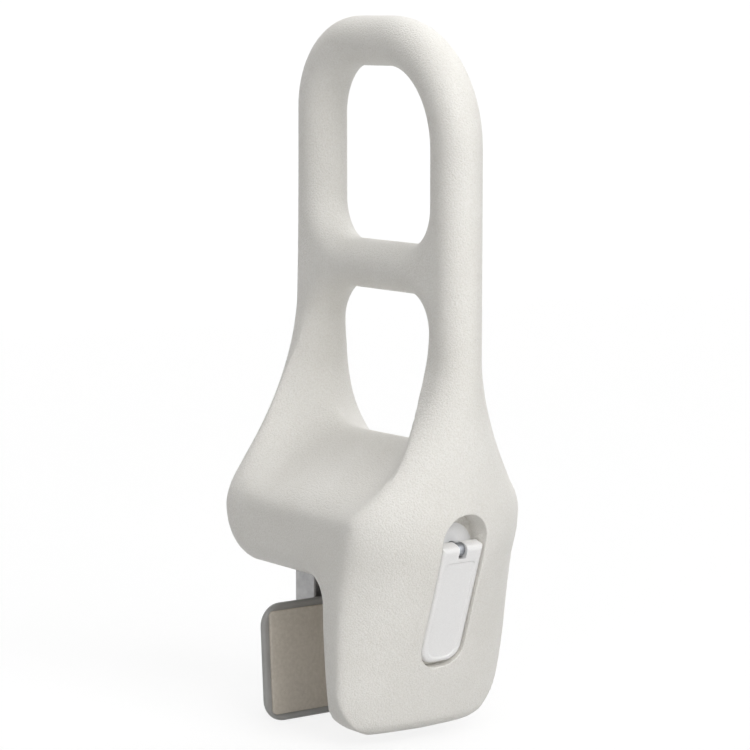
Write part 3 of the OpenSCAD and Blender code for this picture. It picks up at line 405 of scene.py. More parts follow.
def lower_patches():
    """Saddle and pendant, and the lines along which flat walls join the two sides."""
    drop = -SEAT_FILLET * (1 - np.sqrt(0.5))
    corner = (INNER_Y - drop, drop)
    n_in, n_fil, n_arc, n_sad, n_pen = 6 * FINE, 2 * FINE, 3 * FINE, 9 * FINE, 13 * FINE
    seat_row = run((front(drop), drop), corner, n_in, CROWD_SEAT)
    under = bend(arc(LOOP_DEPTH - REAR_LOW, REAR_LOW, REAR_LOW, -90, -45, n_arc), rear, LOOP_DEPTH)
    start = (INNER_Y + SEAT_FILLET, 0.0)
    seat = join(seat_row, arc(start[0], -SEAT_FILLET, SEAT_FILLET, 135, 90, n_fil),
                run(start, under[0], BAR - n_in - n_fil - n_arc), under)
    back = join(on_line(rear, JOIN_Z, REAR_LOW, n_sad - n_arc),
                bend(arc(LOOP_DEPTH - REAR_LOW, REAR_LOW, REAR_LOW, 0, -45, n_arc), rear, LOOP_DEPTH))
    saddle = patch(join_row(), seat, on_line(front, JOIN_Z, drop, n_sad), back)
    toe = bend(arc(TOE_FRONT, FOOT_Z + TOE_FRONT, TOE_FRONT, 180, 225, 2 * FINE), front, 0)
    heel = (INNER_Y - TOE_INNER, FOOT_Z + TOE_INNER)
    left = join(on_line(front, drop, FOOT_Z + TOE_FRONT, n_pen - 2 * FINE), toe)
    right = join(arc(start[0], -SEAT_FILLET, SEAT_FILLET, 135, 180, 2 * FINE),
                 run((INNER_Y, -SEAT_FILLET), (INNER_Y, heel[1]), n_pen - 4 * FINE),
                 arc(*heel, TOE_INNER, 0, -45, 2 * FINE))
    toe_end = bend(arc(TOE_FRONT, FOOT_Z + TOE_FRONT, TOE_FRONT, 225, 270, FINE), front, 0)
    foot = join(toe_end, run(toe_end[-1], (heel[0], FOOT_Z), n_in - 3 * FINE),
                arc(*heel, TOE_INNER, -90, -45, 2 * FINE))
    pendant = patch(seat_row, foot, left, right)
    return saddle, pendant, [seat[n_in:], back, right, join(toe, foot)]

# %% [markdown]
# The four patches are now lifted to both sides. Where the outline is sharp in the
# side view both sides meet in a line, and where a wall is flat a strip of quads
# closes the gap between them.

# %% Skin of the body
ON_LINE, THIN = 1e-6, 0.6     # how near a point is to a line, and a half width that counts as an edge


def skin_body():
    """Both sides of every patch at x = +half and x = -half, plus strips across the flat walls."""
    upper = upper_ring()
    lower, back_row = lower_ring()
    saddle, pendant, walls = lower_patches()
    points, quads, start = [], [], 0
    for grid, kind in ((upper, 2), (lower, 1), (saddle, 0), (pendant, 0)):
        y, z = grid[..., 0], grid[..., 1]
        h = half(y, z)
        h[np.abs(y - toe_line(z)) < ON_LINE] = 0
        h[(np.abs(y - rear(z)) < ON_LINE) & (h < THIN)] = 0
        if kind > 0:
            h[:, 0] = 0
        if kind == 2:
            h[np.abs(z[:, -1] - BAR_Z) > ON_LINE, -1] = 0
        for side in (1, -1):
            points.append(np.stack([side * h, y, z], -1).reshape(-1, 3))
            q = grid_quads(*y.shape, start)
            quads.append(q if (side > 0) != (kind == 2) else q[:, ::-1])
            start += h.size
    for line in [back_row, *walls]:
        y, z = line[:, 0], line[:, 1]
        h = half(y, z)
        h[(h < THIN) & (np.abs(y - rear(z)) < ON_LINE)] = 0
        h[np.abs(y - toe_line(z)) < ON_LINE] = 0
        x = h[:, None] * np.linspace(-1, 1, 2 * FINE + 1)[None]
        deep, high = np.broadcast_to(y[:, None], x.shape), np.broadcast_to(z[:, None], x.shape)
        points.append(np.stack([x, deep, high], -1).reshape(-1, 3))
        q = grid_quads(*x.shape, start)
        keep = np.repeat(h[:-1] + h[1:] > 1e-3, x.shape[1] - 1)
        quads.append(q[keep])
        start += x.size
    return weld(make_mesh("rail_body", np.concatenate(points), np.concatenate(quads)), 0.01)


rail_body = skin_body()
print("skin", len(rail_body.data.polygons), "faces")

# %% [markdown]
# ## Openings in the body
#
# The lever lies in a pocket with an arched top. On the real moulding the pocket
# is part of the tool, with a small radius at its rim. Here the pocket, the opening
# behind it, the rod's bore and the guide chamber are closed cutters, and Blender's
# exact boolean takes them out of the skin. The pocket's cutter follows the bowed
# front, so that its rim gets the small even radius of a moulded edge.

# %% Sizes of the openings, in mm
RECESS_W, RECESS_TOP, RECESS_LOW, RECESS_LOW_R = 36.4, 50.2, -59.0, 15.0
RECESS_BACK, RECESS_KNEE, LEVER_LEAN = 24.0, 6.0, 0.333
RIM_R = 0.9
ROD_Z, PORT_W, PORT_H, PORT_DEPTH = 25.3, 11.0, 17.8, 14.0
BUSH_R, BUSH_LEN, BORE_R = 6.5, 20.0, 6.0
CHAMBER_W, CHAMBER_Y0, CHAMBER_Y1, CHAMBER_LOW, CHAMBER_TOP = 21.2, 118.0, 198.0, -30.0, 52.0
BOW_REACH, OUTSIDE, FLOOR_R = 45.0, -20.0, 1.2
OVER = 1.0        # how far one cutter reaches into the next
PIECE_SHARP = 32  # degrees between faces from which an edge is drawn sharp


# %% Cutters
def front_face(x, z):
    """Depth y of the front skin where half(y, z) = |x|, found by halving the interval 40 times."""
    low, high = front(z), front(z) + BOW_REACH
    for _ in range(40):
        mid = (low + high) / 2
        short = half(mid, z) < np.abs(x)
        low, high = np.where(short, mid, low), np.where(short, high, mid)
    return (low + high) / 2


def recess_line(grow, n=28):
    """Half outline of the pocket, top to bottom: a quarter circle, a straight side and a corner arc."""
    w = RECESS_W / 2
    a = np.radians(np.linspace(90, 0, n))
    top = np.stack([(w + grow) * np.cos(a), RECESS_TOP - w + (w + grow) * np.sin(a)], -1)
    z0, z1 = RECESS_LOW + RECESS_LOW_R, RECESS_TOP - w
    side = np.stack([np.full(n, w + grow), np.linspace(z1, z0, n)], -1)
    a = np.radians(np.linspace(0, -90, n))
    x = w - RECESS_LOW_R + (RECESS_LOW_R + grow) * np.cos(a)
    low = np.stack([x, z0 + (RECESS_LOW_R + grow) * np.sin(a)], -1)
    flat = np.stack([np.linspace(x[-1], 0, 6), np.full(6, RECESS_LOW - grow)], -1)
    return join(top, side, low, flat)


def pocket_back(z):
    """Depth of the pocket's back wall: upright behind the washer, then leaning with the lever."""
    return RECESS_BACK + LEVER_LEAN * np.maximum(RECESS_KNEE - z, 0)


def tube_mesh(name, rings):
    """Closed solid from equal rings of points; the first and last ring are filled by ladders of quads."""
    rows, n = len(rings), len(rings[0])
    points = np.concatenate(rings)
    quads = grid_quads(rows, n)
    wrap = np.arange(rows - 1) * n
    quads = np.concatenate([quads, np.stack([wrap + n - 1, wrap + 2 * n - 1, wrap + n, wrap], -1)])
    caps = []
    for first in (0, (rows - 1) * n):
        i = np.arange(n // 2 - 1)
        caps.append(first + np.stack([i, i + 1, n - 2 - i, n - 1 - i], -1))
    return weld(make_mesh(name, points, np.concatenate([quads, *caps])), 0.001)


def recess_cutter():
    """Rings of the pocket: outside the skin, round the rim's radius, and down to the back wall."""
    rings = []
    turn = np.radians(np.linspace(0, 90, 6))
    steps = [(RIM_R, OUTSIDE)] + [(RIM_R * (1 - np.sin(a)), RIM_R * (1 - np.cos(a))) for a in turn]
    for grow, depth in steps:
        line = recess_line(grow)
        x = np.concatenate([line[:, 0], -line[::-1, 0]])
        z = np.concatenate([line[:, 1], line[::-1, 1]])
        rings.append(np.stack([x, front_face(x, z) + depth, z], -1))
    for grow, back in ((0, FLOOR_R), (-FLOOR_R * 0.3, FLOOR_R * 0.3), (-FLOOR_R, 0)):
        line = recess_line(grow)
        xr = np.concatenate([line[:, 0], -line[::-1, 0]])
        zr = np.concatenate([line[:, 1], line[::-1, 1]])
        rings.append(np.stack([xr, pocket_back(zr) - back, zr], -1))
    return tube_mesh("cut_recess", rings)


def slot_cutter(name, half_w, half_h, y0, y1, z, n=40):
    """A long-round hole along Y: two half circles of radius half_w, set half_h - half_w apart."""
    a = np.linspace(0, 2 * np.pi, n, endpoint=False) + np.pi / n
    x = half_w * np.cos(a)
    zz = z + half_w * np.sin(a) + np.sign(np.sin(a)) * (half_h - half_w)
    return tube_mesh(name, [np.stack([x, np.full(n, y), zz], -1) for y in (y0, y1)])


def box_cutter(name, half_w, y0, y1, z0, z1, r=2.0, n=6):
    """An upright chamber with rounded corners of radius r in plan."""
    a = np.radians(np.linspace(0, 90, n))
    cx, cy = half_w - r, (y1 - y0) / 2 - r
    quarter = [(cx + r * np.cos(a), cy + r * np.sin(a)), (-cx - r * np.sin(a), cy + r * np.cos(a)),
               (-cx - r * np.cos(a), -cy - r * np.sin(a)), (cx + r * np.sin(a), -cy - r * np.cos(a))]
    x = np.concatenate([q[0] for q in quarter])
    y = np.concatenate([q[1] for q in quarter]) + (y0 + y1) / 2
    x, y = np.roll(x, -n // 2), np.roll(y, -n // 2)
    return tube_mesh(name, [np.stack([x, y, np.full(len(x), z)], -1) for z in (z0, z1)])


def cut_out(piece, cutters, sharp=PIECE_SHARP):
    """Takes closed cutters out of a piece, bakes it and marks its sharp edges."""
    for cutter in cutters:
        cut = piece.modifiers.new(cutter.name, "BOOLEAN")
        cut.operation, cut.solver, cut.object = "DIFFERENCE", "EXACT", cutter
    bake_modifiers(piece)
    for cutter in cutters:
        bpy.data.objects.remove(cutter, do_unlink=True)
    piece.data.set_sharp_from_angle(angle=np.radians(sharp))
    return piece


bush_y = RECESS_BACK + PORT_DEPTH
cutters = [
    recess_cutter(),
    slot_cutter("cut_port", PORT_W, PORT_H, RECESS_BACK - 2 * OVER, bush_y, ROD_Z),
    slot_cutter("cut_bush", BUSH_R, BUSH_R, bush_y - OVER, bush_y + BUSH_LEN, ROD_Z),
    slot_cutter("cut_bore", BORE_R, BORE_R, bush_y + BUSH_LEN - OVER, CHAMBER_Y0 + OVER, ROD_Z),
    box_cutter("cut_chamber", CHAMBER_W, CHAMBER_Y0, CHAMBER_Y1, CHAMBER_LOW, CHAMBER_TOP),
]
cut_out(rail_body, cutters)
print("body with openings", len(rail_body.data.polygons), "faces")

# %% [markdown]
# ## Cam lever
#
# The lever is one thick moulding with well rounded edges and an inset panel. Seen
# square to its face it has one front height and one back height, so it is made
# the same way as the body: two arrays of heights over one outline, and a wall
# between them. The back height carries the cam, whose reach falls evenly with
# the angle, so that the jaw draws in evenly while the lever closes.

# %% Sizes of the lever, in mm
PIN_Y, PIN_R = 15.0, 2.5
LEVER_HEAD_W, LEVER_END_W, LEVER_DROP, LEVER_END_R = 34.8, 34.2, 84.2, 12.0
LEVER_T, LEVER_FACE = 7.2, 6.6
CAM_R, CAM_THROW, CAM_SWING = 7.35, 2.6, 100.0
NOTCH_W, NOTCH_DROP, PANEL_DEPTH = 6.4, 5.8, 0.6
LEVER_SOFT, LEVER_BACK_SOFT, HEAD_R = 3.6, 1.0, 1.2
PANEL_SIDE, PANEL_LOW, PANEL_TOP, PANEL_TOP_R, PANEL_LOW_R, PANEL_STEP = 5.3, 4.5, -7.0, 3.0, 9.0, 0.9
TAPER_FROM = 30.0    # height over the pin where the lever has its full width
CUT_REACH, NOTCH_RISE, LEVER_SHARP = 20, 24, 40
TILT = np.arctan(LEVER_LEAN)


# %% Formulas of the lever
def from_face(x, u, d):
    """Points from the face's frame: u up the face and d out of it, both from the pin."""
    y = PIN_Y - u * np.sin(TILT) - d * np.cos(TILT)
    z = ROD_Z + u * np.cos(TILT) - d * np.sin(TILT)
    return np.stack([x, y, z], -1).reshape(-1, 3)


def lever_back():
    """Back line in the face's frame: flat, a straight neck, then the cam up to the lever's top."""
    a = np.radians(np.linspace(-12, CAM_SWING + 8, 60))
    reach = CAM_R - CAM_THROW * np.degrees(a) / CAM_SWING
    pull = CAM_THROW / np.radians(CAM_SWING)
    y = reach * np.cos(a) + pull * np.sin(a)
    z = reach * np.sin(a) - pull * np.cos(a)
    flat = LEVER_T - LEVER_FACE
    sides = np.array([[np.cos(TILT), np.sin(TILT)], [np.cos(a[0]), np.sin(a[0])]])
    neck = np.linalg.solve(sides, [flat, reach[0]])
    y, z = np.append(neck[0], y), np.append(neck[1], z)
    u, d = z * np.cos(TILT) - y * np.sin(TILT), -y * np.cos(TILT) - z * np.sin(TILT)
    return np.append(-LEVER_DROP, u), np.append(-flat, d)


def corner_in(a, b, r):
    """Distance inside a corner of radius r, from the distances a and b inside its two sides."""
    p, q = r - a, r - b
    return r - np.hypot(np.maximum(p, 0), np.maximum(q, 0)) - np.minimum(np.maximum(p, q), 0)


def fall(e, r):
    """How far a rounded edge of radius r has fallen at the distance e inside it."""
    return r - np.sqrt(r * r - np.maximum(r - e, 0) ** 2)


def lever_shell():
    """Front and back heights over a grid that ends on the outline, joined by a wall.

    Rows and columns are close together where the panel's edge steps down.
    """
    back_u, back_d = lever_back()
    top = back_u[-1]
    a = np.linspace(0, np.pi / 2, 27)
    end, head = LEVER_END_R * (1 - np.cos(a)) - LEVER_DROP, top - (top + 5) * np.cos(a)
    panel_ends = [np.linspace(-8.4, -5.6, 9), np.linspace(-79.3, -77.7, 7)]
    u = np.unique(np.round(np.concatenate([end, np.arange(-69, -9, 1.1), head, *panel_ends]), 3))
    s = np.sin(np.linspace(-np.pi / 2, np.pi / 2, 71))
    panel_side = np.linspace(0.64, 0.72, 9)
    s = np.unique(np.round(np.concatenate([s, panel_side, -panel_side]), 3))
    wide = LEVER_HEAD_W / 2 - (LEVER_HEAD_W - LEVER_END_W) / 2 * (TAPER_FROM - u) / (TAPER_FROM + LEVER_DROP)
    bound = wide - fall(u + LEVER_DROP, LEVER_END_R) - fall(top - u, HEAD_R)
    x, u = bound[:, None] * s, np.repeat(u[:, None], len(s), 1)
    inner = corner_in(wide[:, None] - np.abs(x), u + LEVER_DROP, LEVER_END_R)
    inner = np.maximum(corner_in(inner, top - u, HEAD_R), 0)
    side = LEVER_HEAD_W / 2 - PANEL_SIDE
    panel = -round_box(x, u, -side, side, PANEL_LOW - LEVER_DROP, PANEL_TOP,
                       PANEL_TOP_R, PANEL_TOP_R, PANEL_LOW_R, PANEL_LOW_R)
    face = LEVER_FACE - fall(inner, LEVER_SOFT) - PANEL_DEPTH * ease(panel / PANEL_STEP + 0.5)
    back = np.interp(u, back_u, back_d) + fall(inner, LEVER_BACK_SOFT)
    grids = [from_face(x, u, face), from_face(x, u, back)]
    rim = np.arange(x.size).reshape(x.shape)
    rim = np.concatenate([rim[0], rim[1:, -1], rim[-1, -2::-1], rim[-2::-1, 0]])
    wall = np.stack([rim[:-1], rim[1:], rim[1:] + x.size, rim[:-1] + x.size], -1)
    quads = [grid_quads(*x.shape), grid_quads(*x.shape, x.size), wall]
    return weld(make_mesh("lever_shell", np.concatenate(grids), np.concatenate(quads)), 0.005)


def pin_cutter():
    """The pivot's bore: two rings of n points and of radius PIN_R, either side of the lever."""
    n = 48
    a = np.linspace(0, 2 * np.pi, n, endpoint=False) + np.pi / n
    y, z = PIN_Y + PIN_R * np.cos(a), ROD_Z + PIN_R * np.sin(a)
    return tube_mesh("cut_pin", [np.stack([np.full(n, x), y, z], -1) for x in (-CUT_REACH, CUT_REACH)])


notch = box_cutter("cut_notch", NOTCH_W / 2, PIN_Y - CUT_REACH, PIN_Y + CUT_REACH,
                   ROD_Z - NOTCH_DROP, ROD_Z + NOTCH_RISE)
lever = cut_out(lever_shell(), [notch, pin_cutter()], LEVER_SHARP)
print("lever", len(lever.data.polygons), "faces")

# %% [markdown]
# ## Jaw plate and rubber pads
#
# The plate is a pressed tray with its rim folded back, and the pads are cut from
# rubber sheet. All three are sheets with a rounded outline, so one function makes
# them: a row of steps, each an inset from the outline and a height, swept round
# the outline. The plate leans in by the toe-in that the jaw has when it is open.

# %% Plate and pads
TOE_IN = np.radians(3.5)
PLATE_Z, PLATE_SIZE, PLATE_DEPTH, PLATE_T = -72.0, (124.0, 84.0, 16.0), 4.2, 1.6
ARM_FRONT, PLATE_PLAY = 162.6, 0.1
PLATE_Y = ARM_FRONT - (PLATE_DEPTH - PLATE_T) - PLATE_PLAY - np.tan(TOE_IN) * PLATE_SIZE[1] / 2
PAD_SIZE, WALL_PAD_SIZE, PAD_T = (115.0, 73.5, 3.5), (96.0, 66.0, 3.5), 2.3
PAD_RISE, WALL_PAD_Z, SHEET_SHARP = 0.4, -57.5, 50


def sheet_line(w, h, r, n=10):
    """Outline of a rounded rectangle: down the right half from the top's middle, and its mirror image."""
    a = np.radians(np.linspace(90, 0, n))
    cx, cz = w / 2 - r, h / 2 - r
    flat, turn_x, turn_z = np.linspace(0, cx, 14), cx + r * np.cos(a), cz + r * np.sin(a)
    x = np.concatenate([flat[:-1], turn_x, turn_x[::-1], flat[::-1][1:]])
    level = np.full(len(flat) - 1, h / 2)
    z = np.concatenate([level, turn_z, -turn_z[::-1], -level])
    return np.concatenate([x, -x[::-1]]), np.concatenate([z, z[::-1]])


def quarter(inset, height, r, n=7, inner=False):
    """Steps round a quarter circle, from a side up to a face, or from a face down into a hollow's side."""
    a = np.radians(np.linspace(0, 90, n))
    if inner:
        return [(inset + r * (1 - np.sin(t)), height - r * (1 - np.cos(t))) for t in a]
    return [(inset + r * (1 - np.cos(t)), height + r * np.sin(t)) for t in a]


def sheet(name, size, steps, place):
    """A closed sheet: for each step a ring at that inset and height, put in its place."""
    rings = []
    for inset, height in steps:
        x, z = sheet_line(size[0] - 2 * inset, size[1] - 2 * inset, max(size[2] - inset, 0.4))
        rings.append(place(x, np.full(len(x), height), z))
    piece = tube_mesh(name, rings)
    piece.data.set_sharp_from_angle(angle=np.radians(SHEET_SHARP))
    return piece


def on_jaw(x, y, z):
    """Points from the toed-in plate's frame: turned by TOE_IN about X at the plate's middle."""
    s, c = np.sin(TOE_IN), np.cos(TOE_IN)
    return np.stack([x, PLATE_Y + y * c + z * s, PLATE_Z - y * s + z * c], -1)


def pad_steps(t, soft=0.7):
    """Flat back, upright side, a soft edge, and a face that is crowned by a quarter of a millimetre."""
    return ([(20, 0), (4, 0), (0.25, 0), (0, 0.25)] + quarter(0, t - soft, soft)
            + [(2, t + 0.05), (6, t + 0.12), (14, t + 0.2), (24, t + 0.25), (31, t + 0.27)])


deep = PLATE_DEPTH - PLATE_T
plate_steps = ([(30, deep), (6, deep)] + quarter(PLATE_T, deep, 1.0, inner=True) + [(PLATE_T, 0.5)]
               + [(1.3, 0.1), (0.8, 0), (0.3, 0.1), (0, 0.5)] + quarter(0, PLATE_DEPTH - 2.6, 2.6, 10)
               + [(6, PLATE_DEPTH), (30, PLATE_DEPTH)])
tray = sheet("jaw_tray", PLATE_SIZE, plate_steps, lambda x, out, z: on_jaw(x, deep - out, z))
jaw_rubber = sheet("jaw_rubber", PAD_SIZE, pad_steps(PAD_T),
                   lambda x, out, z: on_jaw(x, -PLATE_T - out, z + PAD_RISE))
wall_rubber = sheet("wall_rubber", WALL_PAD_SIZE, pad_steps(PAD_T),
                    lambda x, out, z: np.stack([x, INNER_Y + out, WALL_PAD_Z + z], -1))
print("tray", len(tray.data.polygons), "pads", len(jaw_rubber.data.polygons), len(wall_rubber.data.polygons))

# %% [markdown]
# ## Turned and folded metal
#
# The rod, the screws and the folded sheet are right as they are in the CAD model,
# but real edges are never knife sharp. A merged copy of each gets a small bevel,
# and smooth shading between its edges, and stands for the CAD node.

# %% Broken edges
SAME_MM, FLAT_DEG, CORNER_DEG, BEVEL_STEPS = 0.001, 0.5, 35, 2


def break_edges(node, width):
    """A merged copy of a node with its flat faces joined and its edges bevelled by width mm."""
    mesh = frame["nodes"][node].data.copy()
    bm = bmesh.new()
    bm.from_mesh(mesh)
    bmesh.ops.remove_doubles(bm, verts=bm.verts, dist=SAME_MM * MM)
    bmesh.ops.dissolve_limit(bm, angle_limit=np.radians(FLAT_DEG), verts=bm.verts, edges=bm.edges)
    bm.to_mesh(mesh)
    bm.free()
    piece = bpy.data.objects.new(node + "_finished", mesh)
    bpy.context.scene.collection.objects.link(piece)
    mesh.polygons.foreach_set("use_smooth", np.full(len(mesh.polygons), True))
    bevel = piece.modifiers.new("edges", "BEVEL")
    bevel.width, bevel.segments, bevel.limit_method = width * MM, BEVEL_STEPS, "ANGLE"
    bevel.angle_limit = np.radians(CORNER_DEG)
    bake_modifiers(piece)
    piece.data.set_sharp_from_angle(angle=np.radians(PIECE_SHARP))
    return piece

# %% [markdown]
# ## Finishes
#
# Each finish is a small node tree named for the real material. Colours are
# written as sRGB hex and turned to linear by one function. Patterns read Object
# coordinates in metres, and their scales come from a real size in millimetres.

# %% Material helpers
def linear(code):
    """sRGB hex to linear: c / 12.92 below 0.04045, else ((c + 0.055) / 1.055) ^ 2.4."""
    c = np.array([int(code[i:i + 2], 16) for i in (1, 3, 5)]) / 255
    return (*np.where(c <= 0.04045, c / 12.92, ((c + 0.055) / 1.055) ** 2.4).tolist(), 1.0)


def add(tree, kind, inputs=None, **settings):
    """Adds a node, sets its properties, and fills inputs with values or links from sockets."""
    node = tree.nodes.new(kind)
    for key, value in settings.items():
        setattr(node, key, value)
    for key, value in (inputs or {}).items():
        if isinstance(value, bpy.types.NodeSocket):
            tree.links.new(value, node.inputs[key])
        else:
            node.inputs[key].default_value = value
    return node


def finish(name, colour, **shader):
    """A new material with its tree, its shader and Object coordinates."""
    material = bpy.data.materials.new(name)
    material.use_nodes = True
    tree = material.node_tree
    bsdf = tree.nodes["Principled BSDF"]
    bsdf.inputs["Base Color"].default_value = linear(colour)
    for key, value in shader.items():
        bsdf.inputs[key.replace("_", " ")].default_value = value
    place = add(tree, "ShaderNodeTexCoord").outputs["Object"]
    return material, tree, bsdf, place


def per_mm(size):
    """Texture scale for features of that size in mm, with Object coordinates in metres."""
    return 1 / (size * MM)


def noise(tree, place, size, **inputs):
    """Noise with features of that size in mm."""
    return add(tree, "ShaderNodeTexNoise", {"Vector": place, "Scale": per_mm(size), **inputs})


def bump_from(tree, bsdf, height, distance, strength):
    """Sends a height in 0 to 1, worth distance mm, to the shader's normal."""
    bump = add(tree, "ShaderNodeBump", {"Height": height, "Distance": distance * MM, "Strength": strength})
    tree.links.new(bump.outputs["Normal"], bsdf.inputs["Normal"])


def shade(tree, bsdf, factor, dark, light, low=0.3, high=0.7):
    """Base colour between two hex values as factor goes from low to high."""
    ramp_node = add(tree, "ShaderNodeValToRGB", {"Fac": factor})
    first, last = ramp_node.color_ramp.elements
    first.position, first.color = low, linear(dark)
    last.position, last.color = high, linear(light)
    tree.links.new(ramp_node.outputs["Color"], bsdf.inputs["Base Color"])

# %% Cream moulded plastic
def moulded_plastic():
    """Cream polyethylene from a spark-eroded tool: a matt grain of about 1.1 mm, and a faint mottle."""
    material, tree, bsdf, place = finish("cream_moulded_polyethylene", "#EFEDE7", Roughness=0.46, IOR=1.5)
    grain = noise(tree, place, 1.1, Detail=2.0, Roughness=0.6)
    cloud = noise(tree, place, 60, Detail=2.0)
    mottle = add(tree, "ShaderNodeMix", {"Factor": 0.35, 2: grain.outputs["Fac"], 3: cloud.outputs["Fac"]},
                 data_type="FLOAT")
    shade(tree, bsdf, mottle.outputs[0], "#E6E3DC", "#F3F1EC", 0.35, 0.65)
    bump_from(tree, bsdf, grain.outputs["Fac"], 0.6, 1.0)
    return material


def lever_plastic():
    """White acetal: smoother and less yellow than the body, with a low satin gloss."""
    material, tree, bsdf, place = finish("white_moulded_acetal", "#F4F3F2", Roughness=0.38, IOR=1.48)
    grain = noise(tree, place, 0.8, Detail=2.0)
    shade(tree, bsdf, grain.outputs["Fac"], "#F0EFEE", "#F7F6F5")
    bump_from(tree, bsdf, grain.outputs["Fac"], 0.02, 0.6)
    return material


def zinc(name, colour, dark, rough):
    """Plated or stainless sheet: a grey metal with a fine rolled grain and a cloudy surface."""
    material, tree, bsdf, place = finish(name, colour, Metallic=1.0, Roughness=rough)
    cloud = noise(tree, place, 6, Detail=4.0, Roughness=0.6)
    shade(tree, bsdf, cloud.outputs["Fac"], dark, colour)
    fine = noise(tree, place, 0.5, Detail=2.0)
    bump_from(tree, bsdf, fine.outputs["Fac"], 0.015, 0.5)
    return material


def painted_steel():
    """Powder-coated steel in mid grey: satin, with the coating's orange peel of about 1.5 mm."""
    material, tree, bsdf, place = finish("grey_powder_coat", "#AAA9A6", Roughness=0.42, IOR=1.5)
    peel = noise(tree, place, 1.5, Detail=1.0)
    cloud = noise(tree, place, 20, Detail=2.0)
    shade(tree, bsdf, cloud.outputs["Fac"], "#A4A3A1", "#AFAEAC")
    bump_from(tree, bsdf, peel.outputs["Fac"], 0.03, 0.6)
    return material


def foam_rubber():
    """Closed-cell rubber sheet in warm grey: very matt, with cut cells of about 0.8 mm."""
    material, tree, bsdf, place = finish("warm_grey_cell_rubber", "#DAD2C5", Roughness=0.88, IOR=1.45)
    cells = add(tree, "ShaderNodeTexVoronoi", {"Vector": place, "Scale": per_mm(0.8)})
    cloud = noise(tree, place, 2.5, Detail=3.0)
    shade(tree, bsdf, cloud.outputs["Fac"], "#D4CCBF", "#E0D8CC")
    bump_from(tree, bsdf, cells.outputs["Distance"], 0.12, 0.7)
    return material


def nylon(name, colour, dark, rough):
    """Moulded nylon: a slightly waxy surface with a faint grain."""
    material, tree, bsdf, place = finish(name, colour, Roughness=rough, IOR=1.53)
    grain = noise(tree, place, 1.0, Detail=2.0)
    shade(tree, bsdf, grain.outputs["Fac"], dark, colour)
    bump_from(tree, bsdf, grain.outputs["Fac"], 0.02, 0.5)
    return material


FINISH = {
    "moulding": moulded_plastic(),
    "lever_white": lever_plastic(),
    "washer_white": nylon("white_acetal_disc", "#EFEFEF", "#E9E9EA", 0.42),
    "zinc_steel": zinc("bright_zinc_plate", "#A9ACB1", "#95989E", 0.38),
    "arm_steel": zinc("satin_stainless_sheet", "#ABAAAA", "#989898", 0.45),
    "plate_grey": painted_steel(),
    "pad_rubber": foam_rubber(),
    "bush_nylon": nylon("natural_nylon", "#DEDCD2", "#D3D1C6", 0.45),
    "shoe_nylon": nylon("black_nylon", "#2B2B2D", "#222224", 0.5),
}
print("finishes", sorted(FINISH))


# %% Dress a piece
def dress(obj, body, slot, *nodes):
    """Gives a piece its finish, lets it ride on its body, and hides the CAD nodes that it stands for."""
    obj.data.materials.clear()
    obj.data.materials.append(FINISH[slot])
    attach(obj, body)
    if nodes:
        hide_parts(*nodes)
    return obj


dress(rail_body, "rail", "moulding", "body")
dress(lever, "lever", "lever_white", "cam_lever")
dress(tray, "jaw", "plate_grey", "jaw_plate")
for pad, body, node in ((jaw_rubber, "jaw", "jaw_pad"), (wall_rubber, "rail", "inner_pad")):
    dress(pad, body, "pad_rubber", node)
BROKEN = {    # width of the broken edge in mm
    "cam_washer": 0.3, "rod_bush": 0.3, "guide_channel": 0.2, "guide_screws": 0.1, "pull_rod": 0.25,
    "stop_nut": 0.3, "pivot_pin": 0.1, "jaw_arm": 0.25, "glide_shoe": 0.6, "rod_insert": 0.2,
    "plate_rivets": 0.1,
}
body_of = {node: body for body, nodes in frame["record"]["behaviour"]["bodies"].items() for node in nodes}
slot_of = {row["node"]: row["material_slot"] for row in frame["record"]["subparts"]}
for node, width_mm in BROKEN.items():
    dress(break_edges(node, width_mm), body_of[node], slot_of[node], node)

# %% [markdown]
# ## Studio
#
# The picture is high key: a white sweep and far soft lights. The key stands over
# the front, and weaker ones fill in from the front, above, the left and the rear.
# The floor is white to the camera and in reflections, and pale grey to the rest
# of the light, so that the white comes from its colour and not from more light.

# %% Floor, lamps and world
WHITE_SHARE, WHITE_LEVEL = 0.8, 1.04    # how much of the seen floor glows by itself, and how strongly
SUN_WIDTH = 35                          # angular size of each soft light in degrees


def seen_directly(tree):
    """1 for camera and reflection rays, 0 for the rest."""
    rays = add(tree, "ShaderNodeLightPath").outputs
    both = {0: rays["Is Camera Ray"], 1: rays["Is Glossy Ray"]}
    return add(tree, "ShaderNodeMath", both, operation="MAXIMUM").outputs[0]


def floor_finish():
    """White to the camera and in reflections, but for a soft contact shadow; pale grey to the rest."""
    material = bpy.data.materials.new("white_sweep")
    material.use_nodes = True
    tree = material.node_tree
    tree.nodes.clear()
    seen = seen_directly(tree)
    tone = add(tree, "ShaderNodeMix", {"Factor": seen, 6: linear("#BEBEBE"), 7: linear("#F6F6F6")},
               data_type="RGBA")
    plain = add(tree, "ShaderNodeBsdfDiffuse", {"Color": tone.outputs[2]})
    white = add(tree, "ShaderNodeEmission", {"Color": (1, 1, 1, 1), "Strength": WHITE_LEVEL})
    share = add(tree, "ShaderNodeMath", {0: seen, 1: WHITE_SHARE}, operation="MULTIPLY")
    mixed = add(tree, "ShaderNodeMixShader", {0: share.outputs[0], 1: plain.outputs[0], 2: white.outputs[0]})
    add(tree, "ShaderNodeOutputMaterial", {"Surface": mixed.outputs[0]})
    return material


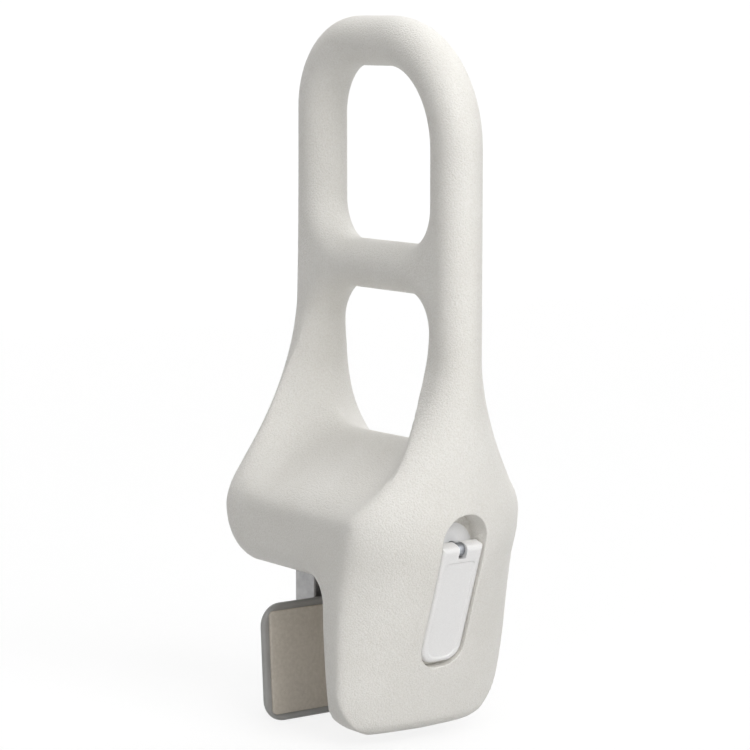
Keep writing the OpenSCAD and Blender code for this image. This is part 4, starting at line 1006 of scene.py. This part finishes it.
def sweep():
    """A floor that curves up into a wall: a quarter circle of radius rise between two planes."""
    z0 = cad_box[0][2] / MM - 0.1
    a = np.radians(np.linspace(-90, 0, 24))
    near, far, rise, reach = -4500, 3500.0, 1200.0, 5000
    y = np.concatenate([[near], far - rise + rise * np.cos(a), [far]])
    z = np.concatenate([[z0], z0 + rise + rise * np.sin(a), [reach]])
    x = np.linspace(-reach, reach, 3)
    points = np.stack([np.repeat(x, len(y)), np.tile(y, 3), np.tile(z, 3)], -1)
    floor = make_mesh("sweep", points, grid_quads(3, len(y))[:, ::-1])
    floor.data.materials.append(floor_finish())
    floor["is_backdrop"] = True


def far_light(name, azimuth, elevation, power):
    """A far soft light as a wide sun; azimuth 0 shines from the front, 90 from +X."""
    data = bpy.data.lights.new(name, "SUN")
    data.angle, data.energy = np.radians(SUN_WIDTH), power
    lamp = bpy.data.objects.new(name, data)
    bpy.context.scene.collection.objects.link(lamp)
    a, e = np.radians(azimuth), np.radians(elevation)
    shine = Vector((-np.sin(a) * np.cos(e), np.cos(a) * np.cos(e), -np.sin(e)))
    lamp.rotation_euler = shine.to_track_quat("-Z", "Y").to_euler()


def white_world(strength):
    """White to the camera and in reflections, dimmer as fill light."""
    world = bpy.data.worlds.new("white_room")
    bpy.context.scene.world = world
    world.use_nodes = True
    tree = world.node_tree
    level = add(tree, "ShaderNodeMapRange", {"Value": seen_directly(tree), "To Min": strength, "To Max": 1.0})
    tree.links.new(level.outputs[0], tree.nodes["Background"].inputs["Strength"])
    tree.nodes["Background"].inputs["Color"].default_value = (1, 1, 1, 1)


sweep()
white_world(0.04)
# azimuth and elevation in degrees, and strength
LIGHTS = {"key": (2, 35, 1.24), "front_fill": (10, 0, 0.84), "top": (0, 85, 0.72), "low_left": (-58, 6, 0.5),
          "left_fill": (-34, 45, 0.54), "right_fill": (105, 36, 0.6), "back_right": (150, 45, 0.95),
          "back_left": (-150, 45, 0.15)}
for lamp_name, (azimuth, elevation, power) in LIGHTS.items():
    far_light(lamp_name, azimuth, elevation, power)
bpy.context.scene.view_settings.view_transform = "Standard"

# %% [markdown]
# ## Growth past the CAD box
#
# The dressed pieces are made to fit inside the CAD model's box. Both boxes are measured,
# and the last line prints how far the dressed model reaches past the CAD box.

# %% Boxes and last line
dressed_box = [list(corner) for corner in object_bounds()]
below, above = np.subtract(cad_box[0], dressed_box[0]), np.subtract(dressed_box[1], cad_box[1])
print("largest growth, mm", round(float(max(below.max(), above.max())) / MM, 2))
